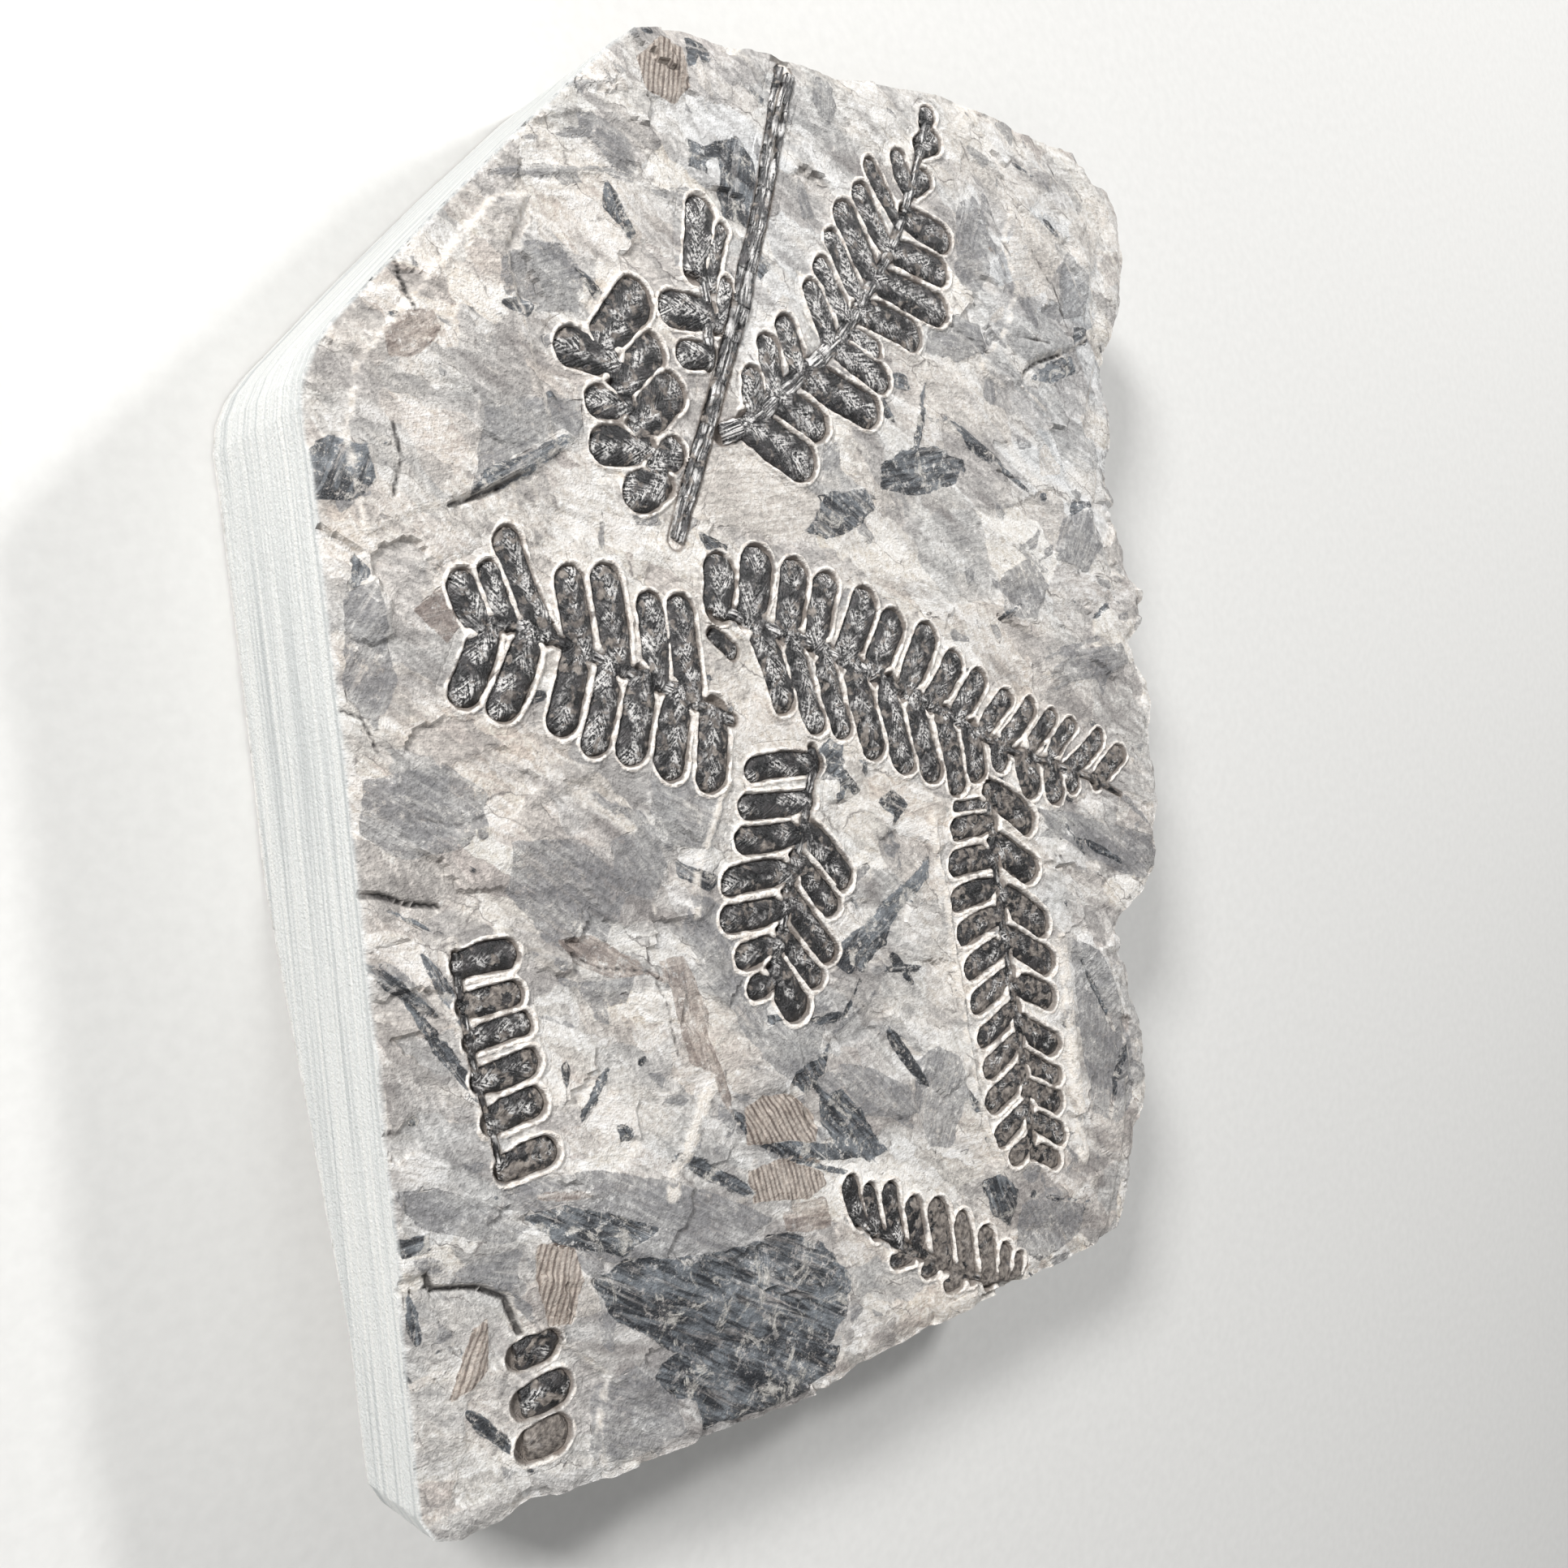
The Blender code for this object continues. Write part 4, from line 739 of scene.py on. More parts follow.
def slab_blank():
    """Cuts the blank: a fine grid for the face and a coarse one for the back, both still a unit square, and
    rings of cells down the walls between them."""
    slab = grid(FACE_CELLS, (0.5, 0.5, 1))
    bpy.ops.object.mode_set(mode="EDIT")
    bpy.ops.mesh.select_mode(type="EDGE")
    bpy.ops.mesh.select_all(action="DESELECT")
    bpy.ops.mesh.select_non_manifold()
    for _ in range(WALL_RINGS):
        bpy.ops.mesh.extrude_region_move(TRANSFORM_OT_translate={"value": (0, 0, -1 / WALL_RINGS)})
    slab = joined([slab, grid(BACK_CELLS, (0.5, 0.5, 0), 0.97)], "shale_slab")
    bpy.ops.object.mode_set(mode="EDIT")
    bpy.ops.mesh.select_all(action="DESELECT")
    bpy.ops.mesh.select_non_manifold()
    bpy.ops.mesh.bridge_edge_loops()
    close_shell()
    return slab


def wall_lean(x, y, z, around, from_sawn):
    """How far a point of the broken wall lies inside the outline."""
    lean = np.interp(z, WALL_LEVELS, WALL_LEAN) * (1 + 0.55 * np.sin(0.37 * x + 0.23 * y + 0.5 * z))
    for (cx, cy), across, down, height in EDGE_CHIPS:
        near = ((x - cx) ** 2 + (y - cy) ** 2) / (across / 2) ** 2 + ((z - height) / (down / 2)) ** 2
        lean += across * 0.14 * np.sqrt(np.clip(1 - near, 0, 1))
    layer = np.floor((z + 0.5 * cloud(around, 0 * z, 3.0, 26, 11, 1)) / 2.1)
    ledges = 0.75 * cloud(around, layer * 9.1, 0.0, 11, 12, 2) + 0.45
    ledges += 0.22 * cloud(around, z, 5.0, 2.6, 13, 3)
    lean += ledges * smooth(FACE, FACE - 3.5, z)
    return lean * np.clip((from_sawn - UPRIGHT) / LEAN_START, 0, 1)


def shape_slab():
    """Warps the blank to the outline, gives it its relief, and paints what the stone's material reads."""
    slab = slab_blank()
    unit = corners_of(slab) * MM
    u, v, down = unit[:, 0], unit[:, 1], unit[:, 2]
    x, y, around = face_plan(u, v)
    on_edge = (u < 1e-5) | (u > 1 - 1e-5) | (v < 1e-5) | (v > 1 - 1e-5)
    face, back = down > 1 - 1e-4, down < 1e-4
    wall = on_edge & ~face & ~back
    low = back_height(x, y)
    from_sawn = to_line(x, y, SAWN)
    edge = to_outline(x, y, OUTLINE)
    edge = np.where(on_edge, 0, np.minimum(edge, 0))
    relief, marks = face_relief(x[face], y[face], edge[face], from_sawn[face])
    top = np.full(x.shape, FACE)
    top[face] = FACE + relief
    lookup = {(round(a, 5), round(b, 5)): z for a, b, z in zip(u[face], v[face], top[face])}
    ring = on_edge & ~face
    top[ring] = [lookup[(round(a, 5), round(b, 5))] for a, b in zip(u[ring], v[ring])]
    share = np.where(on_edge, 1 - (1 - down) ** 1.15, down)
    z = low + (top - low) * share
    pull = np.zeros(x.shape)
    sides = on_edge & ~face
    pull[sides] = wall_lean(x[sides], y[sides], z[sides], around[sides], from_sawn[sides])
    saw = smooth(UPRIGHT + 1, UPRIGHT - 4, from_sawn)
    sawn_wave = 0.06 * cloud(around[sides] / 12, z[sides], 0.0, 1.2, 14, 2)
    pull[sides] += (0.07 + sawn_wave) * saw[sides]
    bearing = np.arctan2(y, x)
    rim, middle = back & on_edge, back & ~on_edge
    order = np.argsort(bearing[rim])
    known = np.interp(bearing[middle], bearing[rim][order], pull[rim][order], period=2 * math.pi)
    pull[middle] = known * smooth(-20, 0, edge[middle])
    x = x - np.cos(bearing) * pull
    y = y - np.sin(bearing) * pull
    rough = 0.35 + 0.35 * cloud(x[back], y[back], 0.0, 16, 21, 4)
    z[back] = low[back] + np.clip(rough, 0, 0.9) * np.where(on_edge[back], 0.4, 1)
    place_corners(slab, np.column_stack([x, y, z]))
    paint_top(slab, marks, face)
    paint(slab, "sawn", np.where(face, smooth(-0.5, -0.1, edge) * saw, np.where(wall, saw, 0)))
    paint_grain(slab, around)
    hidden = np.zeros(x.shape, bool)
    hidden[face] = marks["film"] < 0.2
    group = slab.vertex_groups.new(name="unseen")
    group.add([int(place) for place in np.flatnonzero(hidden)], 1.0, "REPLACE")
    finish_modifier(slab, "DECIMATE", ratio=keep_share(slab, hidden), vertex_group="unseen",
                    use_collapse_triangulate=True)
    shade(slab, 40)
    return slab


def keep_share(slab, hidden):
    """The share of all triangles that leaves the unseen ones with their own share."""
    total = len(slab.data.polygons)
    coarse = np.count_nonzero(hidden)
    return (total - coarse * (1 - HIDDEN_SHARE)) / total


def scattered_scraps():
    """Seeded scraps of leaf strewn over the face: tone, angle of their streaks, outline."""
    source = np.random.default_rng(SEED)
    made = []
    for number in range(SCRAPS_STREWN):
        x, y = source.uniform(-76, 76), source.uniform(-93, 93)
        size = 0.7 + 4.6 * source.uniform() ** 2.4
        narrow = source.uniform(0.18, 0.75)
        turn = source.normal(LIE, 34)
        sides = int(source.integers(4, 8))
        angles = np.sort(source.uniform(0, 2 * math.pi, sides))
        reach = size * source.uniform(0.75, 1.1, sides)
        roll = source.uniform()
        tone = next(name for name, share in STREWN_TONES if roll < share)
        lean = math.radians(turn)
        a, b = np.cos(angles) * reach, np.sin(angles) * reach * narrow
        outline = np.column_stack([x + a * math.cos(lean) - b * math.sin(lean),
                                   y + a * math.sin(lean) + b * math.cos(lean)])
        made.append((tone, turn, [tuple(point) for point in outline.tolist()]))
    return made


def sliver_outline(start, end, width):
    """A thin leaf-shaped outline from start to end."""
    length = math.dist(start, end)
    wx, wy = (end[0] - start[0]) / length, (end[1] - start[1]) / length
    half = [(0.0, 0.12), (0.15, 0.36), (0.45, 0.5), (0.8, 0.4), (1.0, 0.15)]
    whole = half + [(share, -out) for share, out in half[::-1]]
    return [(start[0] + wx * share * length - wy * out * width, start[1] + wy * share * length + wx * out * width)
            for share, out in whole]


def all_scraps():
    """Every scrap of leaf on the face, from the lowest to the top one."""
    slivers = [(tone, math.degrees(math.atan2(end[1] - start[1], end[0] - start[0])),
                sliver_outline(start, end, width)) for tone, start, end, width in SLIVERS]
    return scattered_scraps() + SCRAPS + slivers


def facets(x, y):
    """The facets that the stone split along: height, distance to the nearest step, signed distances to the
    facets of a cool, a dim and a pale tone, and the facet's number."""
    source = np.random.default_rng(SEED + 5)
    seeds = np.column_stack([source.uniform(-84, 84, FACETS), source.uniform(-102, 102, FACETS)])
    rise = source.uniform(-0.2, 0.2, FACETS)
    tilt = source.normal(0, 0.06, (FACETS, 2))
    tones = source.uniform(size=(3, FACETS)) < np.array(FACET_SHARES)[:, None]
    turn = math.radians(LIE)
    wx = x + 2.2 * cloud(x, y, 0.0, 8, 41, 3)
    wy = y + 2.2 * cloud(x, y, 3.0, 8, 42, 3)
    along, across = wx * math.cos(turn) + wy * math.sin(turn), wy * math.cos(turn) - wx * math.sin(turn)
    seed_along = seeds[:, 0] * math.cos(turn) + seeds[:, 1] * math.sin(turn)
    seed_across = seeds[:, 1] * math.cos(turn) - seeds[:, 0] * math.sin(turn)
    found = [np.empty(x.shape) for _ in range(6)]
    for first in range(0, len(x), 20000):
        part = slice(first, first + 20000)
        away = np.hypot((along[part, None] - seed_along) * 0.7, (across[part, None] - seed_across) * 1.25)
        nearest = np.argmin(away, axis=1)
        two = np.partition(away, 1, axis=1)[:, :2]
        found[0][part] = (rise[nearest] + tilt[nearest, 0] * (x[part] - seeds[nearest, 0])
                          + tilt[nearest, 1] * (y[part] - seeds[nearest, 1]))
        found[1][part] = (two[:, 1] - two[:, 0]) / 2
        for row, tone in enumerate(tones):
            found[2 + row][part] = (away[:, tone].min(axis=1) - away[:, ~tone].min(axis=1)) / 2
        found[5][part] = nearest
    return found


def ground(x, y, film):
    """Height of the split face against the slab's face, without the hollows of the fronds, and the distances
    that its colours are read from."""
    steps, step_edge, cool, dim, pale, _ = facets(x, y)
    rough = 0.8 * np.clip(steps, -0.55, 0.55) + 0.08 * cloud(x, y, 0.0, 5, 3, 4)
    rough += 0.06 * cloud(x, y, 0.0, 1.6, 4, 3)
    marks = {name: np.full(x.shape, NOWHERE) for name in ("slate", "ash", "umber", "bare", "fan")}
    brim, lip, crack = np.full((3,) + x.shape, NOWHERE)
    for number, (tone, _, outline) in enumerate(all_scraps()):
        spot = close_to(x, y, outline, 2.5)
        if not len(spot):
            continue
        away = to_outline(x[spot], y[spot], outline)
        lean = 0.06 * math.sin(number * 2.3) * (x[spot] - outline[0][0])
        lean += 0.06 * math.cos(number * 1.7) * (y[spot] - outline[0][1])
        rough[spot] += np.clip(lean, -0.22, 0.22) * smooth(0.3, -0.3, away)
        for name, values in marks.items():
            values[spot] = np.minimum(values[spot], away) if name == tone else np.maximum(values[spot], -away)
        brim[spot] = np.where(away < 0, -away, np.minimum(brim[spot], away))
        rough[spot] += 0.1 * smooth(0.3, -0.3, away)
    for outline, _, slope in FLAKES:
        lip = np.minimum(lip, np.abs(to_outline(x, y, outline)) - slope * 0.16)
    for line, radius, _ in BANDS:
        lip = np.minimum(lip, to_line(x, y, line) - radius)
    height = level(x, y) + rough * (0.25 + 0.75 * smooth(0.6, 3.0, film))
    for line, radius, depth in CRACKS:
        away = to_line(x, y, line) - radius
        crack = np.minimum(crack, away)
        height -= depth * smooth(0.2, -radius, away)
    shade_of, chill = np.zeros(x.shape), np.zeros(x.shape)
    for areas, sums in ((SHADES, shade_of), (CHILLS, chill)):
        for (cx, cy), radius, strength in areas:
            sums += strength * np.exp(-((x - cx) ** 2 + (y - cy) ** 2) / radius ** 2)
    marks.update(cool=cool, dim=dim, pale=pale, shade=shade_of, chill=chill, brim=brim, step=step_edge, lip=lip,
                 crack=crack, film=film)
    return height, marks


def all_films(x, y):
    """Signed distance to the nearest film of any frond."""
    film = np.full(x.shape, 99.0)
    for frond in IMPRINTS.values():
        film = np.minimum(film, to_film(x, y, frond)[0])
    return film


def face_relief(x, y, edge, from_sawn):
    """Height of the slab's face and what its colours are read from. Under the fronds the face is sunk, and
    the imprints lie there."""
    film = all_films(x, y)
    height, marks = ground(x, y, film)
    height -= 1.5 * smooth(1.5, 0.5, film)
    broken = smooth(4, 9, from_sawn)
    crumble = 0.5 + 0.5 * cloud(x, y, 0.0, 4, 6, 3)
    height -= (0.2 + 0.9 * crumble) * smooth(-2.2, 0, edge) * broken
    height -= 0.35 * smooth(-0.9, 0, edge) * (1 - broken) * (0.4 + 0.6 * crumble)
    return np.minimum(height, TOP - FACE), marks


def grain_turn(x, y):
    """Direction of the streaks at each point, in degrees."""
    turn = (facets(x, y)[5] * 37) % 100 * 0.9 - 75
    for _, angle, outline in all_scraps():
        spot = close_to(x, y, outline, 0.5)
        turn[spot[to_outline(x[spot], y[spot], outline) < 0.1]] = angle
    return turn


def paint_grain(slab, around):
    """Writes the UV map in which the stone's streaks run along U. On the walls, U runs round the edge."""
    mesh = slab.data
    centres = read(mesh.polygons, "center", 3) / MM
    turn = grain_turn(centres[:, 0], centres[:, 1])
    upright = np.abs(read(mesh.polygons, "normal", 3)[:, 2]) < 0.6
    starts = read(mesh.polygons, "loop_start", kind=int)
    owner = np.repeat(np.arange(len(mesh.polygons)), read(mesh.polygons, "loop_total", kind=int))
    corner = read(mesh.loops, "vertex_index", kind=int)
    turn = np.radians(turn[owner])
    x, y, z = corners_of(slab)[corner].T
    along, across = x * np.cos(turn) + y * np.sin(turn), y * np.cos(turn) - x * np.sin(turn)
    if around is not None:
        far = around[corner]
        wraps = np.maximum.reduceat(far, starts) - np.minimum.reduceat(far, starts) > 200
        far = np.where(wraps[owner] & (far < 200), far + around.max(), far)
        along, across = np.where(upright[owner], far, along), np.where(upright[owner], z, across)
    write_uv(mesh, "grain", along, across)


# ------------------------------------------------------------------------------------------------
# The fronds and the pale rims of stone round them

PINNULE_CELLS = (22, 10)  # cells along and across a pinnule
FILM_DEPTH = 0.75  # how deep a film reaches under its edge
FILM_VOXEL = 0.25
FILM_TUCK = 0.14  # how far a film reaches under its rim
IMPRINT_CELL = 0.25
IMPRINT_REACH = 2.3  # how far an imprint reaches beyond the film
IMPRINT_DEPTH = 2.6
RIM_MIDDLE = 0.4  # from the film's outline to the crest of the rim
RIM_SPREAD = 0.26
RIM_RISE = 0.38


def half_width(share, width, length):
    """Half-width of a pinnule's film that share of the way from foot to tip."""
    start = 1 - min(width / 2 + SPREAD / 2, length * 0.45) / length
    past = np.clip((share - start) / (1 - start), 0, 1)
    return (body_of(share, width) + FILM_TUCK) * np.sqrt(1 - past ** 2 + 1e-6)


def along_pinnule(pin, share, across):
    """X and Y of a point that share of the way along, and that many millimetres to the left."""
    foot, tip, _ = pin
    foot, tip = np.array(foot, float), np.array(tip, float)
    way = tip - foot
    length = np.hypot(*way)
    way /= length
    side = np.array([-way[1], way[0]])
    bow = bend_of(pin[0], pin[1]) * length * 4 * share * (1 - share)
    point = foot + np.outer(share * length, way) + np.outer(bow + across, side)
    return point[:, 0], point[:, 1]


def copy_of(prototype):
    """A copy of the prototype strip with a mesh of its own."""
    film = prototype.copy()
    film.data = prototype.data.copy()
    bpy.context.scene.collection.objects.link(film)
    return film


def pinnule_film(pin, crest, prototype):
    """One pinnule's film: the prototype strip, warped to its place, with a low pillow across it."""
    foot, tip, width = pin
    length = math.dist(foot, tip)
    film = copy_of(prototype)
    unit = corners_of(film) * MM
    share, side, upper = unit[:, 0], unit[:, 1] * 2, unit[:, 2] > 0.5
    across = side * half_width(share, width, length)
    start = -0.06 * (1 - share)
    x, y = along_pinnule(pin, share + start, across)
    round_end = min(width * 0.7, length * 0.6) / length
    rim = np.hypot(np.abs(side) ** 1.3, np.clip((share - 1 + round_end) / round_end, 0, 1) ** 1.5)
    pillow = np.clip(1 - rim ** 2, 0, 1) ** 0.75
    groove = 0.17 * np.exp(-(across / 0.32) ** 2) * smooth(1, 0.75, share)
    height = crest - 0.6 + 0.8 * pillow - groove
    z = FACE + level(x, y) + np.where(upper, height, crest - 0.5 - FILM_DEPTH)
    place_corners(film, np.column_stack([x, y, z]))
    return film


def strip(name):
    """The prototype of a film: a thin slab of cells from foot to tip."""
    thing = grid(PINNULE_CELLS, (0.5, 0, 0))
    bpy.ops.object.mode_set(mode="EDIT")
    bpy.ops.mesh.select_all(action="SELECT")
    bpy.ops.mesh.extrude_region_move(TRANSFORM_OT_translate={"value": (0, 0, 1)})
    close_shell()
    thing.name = name
    return thing


def rachis_film(line, half_widths, crest, prototype):
    """The rachis: the prototype strip along its line, ridged lengthwise."""
    film = only(copy_of(prototype))
    length = sum(math.dist(start, end) for start, end in zip(line, line[1:]))
    bpy.ops.object.mode_set(mode="EDIT")
    bpy.ops.mesh.select_all(action="SELECT")
    if length > 25:
        bpy.ops.mesh.subdivide(number_cuts=int(length / 16))
    bpy.ops.object.mode_set(mode="OBJECT")
    unit = corners_of(film) * MM
    share, side, upper = unit[:, 0], unit[:, 1] * 2, unit[:, 2] > 0.5
    middle, _ = walk(line, share)
    ahead, _ = walk(line, np.clip(share + 0.01, 0, 1))
    behind, _ = walk(line, np.clip(share - 0.01, 0, 1))
    way = ahead - behind
    way /= np.hypot(*way.T)[:, None]
    width = half_widths[0] + (half_widths[1] - half_widths[0]) * share
    width = width * (1 + 0.16 * np.sin(share * length * 0.9))
    x = middle[:, 0] - way[:, 1] * side * width
    y = middle[:, 1] + way[:, 0] * side * width
    ridges = 0.07 * np.cos(side * 9 + 0.6 * np.sin(share * length * 0.35))
    height = crest - 0.3 + 0.36 * (1 - np.abs(side) ** 2.4) + ridges
    z = FACE + level(x, y) + np.where(upper, height, crest - 0.3 - FILM_DEPTH)
    place_corners(film, np.column_stack([x, y, z]))
    return film


def paint_leaf(thing, frond):
    """Writes where each point lies on its pinnule or along its stalk as a UV map, which of the two it is, and
    how worn its film is and how much painted highlight its colour carries."""
    x, y, _ = corners_of(thing).T
    best, worn, painted_glint_share = np.full((3,) + x.shape, 9.0)
    far, side, stalk = np.zeros((3,) + x.shape)
    line = frond.get("rachis", [])
    stems = [(start, end, 2 * max(frond["half_width"])) for start, end in zip(line, line[1:])]
    runs = frond["pinnules"] + stems
    first = runs[0][0]
    reach = max(math.dist(first, run[0]) for run in runs) + 0.01
    for number, (foot, tip, width) in enumerate(runs):
        on_stalk = number >= len(frond["pinnules"])
        away = (to_segment(x, y, foot, tip)[0] - width / 2 - 0.15 if on_stalk
                else to_pinnule(x, y, (foot, tip, width)))
        along, across = from_foot(x, y, foot, tip)
        nearer = away < best
        share, turn = math.dist(first, foot) / reach, 0.1 * math.sin(number * 2.4 + foot[0])
        for values, value in ((best, away), (far, along + 40 * number), (side, across)):
            values[nearer] = value[nearer]
        stalk[nearer] = on_stalk
        for values, (near, end), change in ((worn, frond["worn"], turn), (painted_glint_share, frond["painted_glint_share"], -turn)):
            values[nearer] = near + (end - near) * share + change
    # Points that no run reaches
    worn[best == 9.0], painted_glint_share[best == 9.0] = frond["worn"][0], frond["painted_glint_share"][0]
    for name, values in (("worn", worn), ("painted_glint_share", painted_glint_share), ("stalk", stalk)):
        paint(thing, name, values)
    corner = read(thing.data.loops, "vertex_index", kind=int)
    write_uv(thing.data, "leaf", far[corner], side[corner])


def rough_skin(thing, voxel, grain, strength, seed):
    """Melts a piece into one skin, evens it, and gives it a fine seeded roughness."""
    finish_modifier(thing, "REMESH", mode="VOXEL", voxel_size=voxel * MM)
    finish_modifier(thing, "SMOOTH", factor=0.5, iterations=2)
    points = corners_of(thing)
    bumps = cloud(*points.T, grain, seed, 3) + 1.1 * cloud(*points.T, grain * 3, seed + 1, 2)
    place_corners(thing, points + read(thing.data.vertices, "normal", 3) * (strength * bumps)[:, None])


def frond_film(name, frond, prototype, seed):
    """A whole frond's film of coal as one skin."""
    pieces = [pinnule_film(pin, frond["crest"], prototype) for pin in frond["pinnules"]]
    if "rachis" in frond:
        pieces.append(rachis_film(frond["rachis"], frond["half_width"], frond["crest"] + 0.06, prototype))
    film = joined(pieces, name)
    rough_skin(film, FILM_VOXEL, 0.85, 0.12, seed)
    paint_leaf(film, frond)
    shade(film, 60)
    return film


def imprint(name, frond):
    """The stone round and under a frond: hollows that hold the film, and a raised pale rim round each
    pinnule, which two close neighbours share."""
    ends = [point for foot, tip, _ in frond["pinnules"] for point in (foot, tip)] + frond.get("rachis", [])
    xs, ys = np.array(ends).T
    margin = IMPRINT_REACH + 3.2
    low = np.floor(np.array([xs.min() - margin, ys.min() - margin]) / IMPRINT_CELL)
    high = np.ceil(np.array([xs.max() + margin, ys.max() + margin]) / IMPRINT_CELL)
    cells = (high - low).astype(int)
    bed = grid(cells.tolist(), (0.5, 0.5, 0))
    unit = corners_of(bed) * MM
    lattice = np.round(unit[:, :2] * cells + low) * IMPRINT_CELL
    place_corners(bed, np.column_stack([lattice, np.full(len(lattice), FACE)]))
    x, y = np.round(read(bed.data.polygons, "center", 3)[:, :2].T / MM, 4)
    own = to_film(x, y, frond)[0]
    spare = (own > IMPRINT_REACH) | (to_outline(x, y, OUTLINE) > -1.2)
    kept = np.flatnonzero(~spare)
    for key, other in IMPRINTS.items():
        if key != name:
            spare[kept] |= own[kept] > to_film(x[kept], y[kept], other)[0]
    pick_faces(bed, spare)
    bpy.ops.mesh.delete(type="FACE")
    bpy.ops.mesh.select_mode(type="EDGE")
    bpy.ops.mesh.select_all(action="DESELECT")
    bpy.ops.mesh.select_non_manifold()
    bpy.ops.mesh.extrude_region_move(TRANSFORM_OT_translate={"value": (0, 0, -IMPRINT_DEPTH * MM)})
    bpy.ops.mesh.fill(use_beauty=False)
    close_shell()
    points = corners_of(bed)
    top = points[:, 2] > FACE - 0.1
    x, y = points[top, 0], points[top, 1]
    film = all_films(x, y)
    height, marks = ground(x, y, film)
    _, leaves = to_film(x, y, frond)
    waver = leaves + 0.1 * cloud(x, y, 0.0, 1.4, 51, 2)
    stalk = to_rachis(x, y, frond) if "rachis" in frond else np.full(x.shape, 9.0)
    swell = 1 + 0.7 * cloud(x, y, 0.0, 2.2, 52, 3)
    rim = np.where(waver < RIM_MIDDLE, smooth(-0.15, RIM_MIDDLE, waver),
                   np.exp(-((waver - RIM_MIDDLE) / RIM_SPREAD) ** 2))
    rim *= smooth(0.0, 0.9, stalk) * frond.get("rim", 1)
    height += RIM_RISE * rim * swell
    hollow = np.minimum(waver, stalk)
    depth = 0.95 - frond["crest"] if frond["pinnules"] else 0.3
    height -= depth * smooth(0.15, -0.35, hollow)
    height -= 0.4 * smooth(1.35, IMPRINT_REACH - IMPRINT_CELL, film)
    edge = to_outline(x, y, OUTLINE)
    height -= 0.5 * smooth(-3.5, -1.2, edge)
    points[top, 2] = FACE + np.minimum(height, TOP - FACE)
    place_corners(bed, points)
    between = 0.0 if frond["pinnules"] else 0.75  # how cream the stone between the stem's strands is
    cream = rim * swell * (1 - 0.3 * frond["painted_glint_share"][0])
    marks["rim"] = 9.0 * np.maximum(cream, between * smooth(0.2, -0.5, stalk))
    paint_top(bed, marks, top)
    paint_grain(bed, None)
    bed.name = bed.data.name = f"{name}_imprint"
    shade(bed, 60)
    return bed


def beside(line, offset, wander):
    """The line, shifted sideways by an amount that wanders and shrinks to its end."""
    points = np.array(line, float)
    way = np.gradient(points, axis=0)
    way /= np.hypot(*way.T)[:, None]
    step = np.arange(len(points))
    shift = offset * (1 - 0.45 * step / step[-1]) + 0.28 * np.sin(step * 1.3 + wander)
    return (points + np.column_stack([-way[:, 1], way[:, 0]]) * shift[:, None]).tolist()


def stem_film(prototype):
    """The main stem: strands of coal that part and meet, with stone showing between them."""
    strands = [rachis_film(beside(MAIN_STEM, side, wander), widths, crest, prototype)
               for side, wander, widths, crest in ((1.15, 0.0, (0.42, 0.4), 0.45), (0.1, 1.7, (0.4, 0.45), 0.34),
                                                   (-0.95, 3.1, (0.38, 0.34), 0.4), (-1.5, 4.4, (0.2, 0.25), 0.3))]
    stem = joined(strands, "stem_film")
    rough_skin(stem, 0.22, 0.8, 0.1, 91)
    paint_leaf(stem, IMPRINTS["main_stem"])
    shade(stem, 60)
    return stem


# ------------------------------------------------------------------------------------------------
# Materials

def add(tree, kind, inputs=None, out=0, stops=(), **settings):
    """Adds a shader node with its settings and gives one of its outputs. An input that is a socket is linked,
    a hex colour is turned to linear, and any other value is set. Stops are a ramp's."""
    made = tree.nodes.new("ShaderNode" + kind)
    for name, value in settings.items():
        setattr(made, name, value)
    for place, value in (inputs or {}).items():
        if isinstance(value, bpy.types.NodeSocket):
            tree.links.new(value, made.inputs[place])
        else:
            made.inputs[place].default_value = linear(value) if isinstance(value, str) else value
    for number, (place, value) in enumerate(stops):
        if number >= len(made.color_ramp.elements):
            made.color_ramp.elements.new(place)
        made.color_ramp.elements[number].position = place
        made.color_ramp.elements[number].color = linear(value) if isinstance(value, str) else (value,) * 3 + (1,)
    return made.outputs[out]


def new_material(name):
    """A material with its shader; returns it, its tree, the shader and coordinates in millimetres."""
    material = bpy.data.materials.new(name)
    material.use_nodes = True
    tree = material.node_tree
    place = add(tree, "TexCoord", out=3)
    place = add(tree, "Mapping", {"Vector": place, "Scale": (1 / MM, 1 / MM, 1 / MM)})
    return material, tree, tree.nodes["Principled BSDF"], place


def edge_mask(tree, name, wander, reach, blur):
    """1 inside the shapes whose distance the attribute holds, with an edge that wanders."""
    value = add(tree, "Attribute", out=2, attribute_name=name)
    value = add(tree, "Math", {0: value, 1: wander}, operation="ADD")
    return add(tree, "MapRange", {"Value": value, "From Min": reach + blur, "From Max": reach - blur})


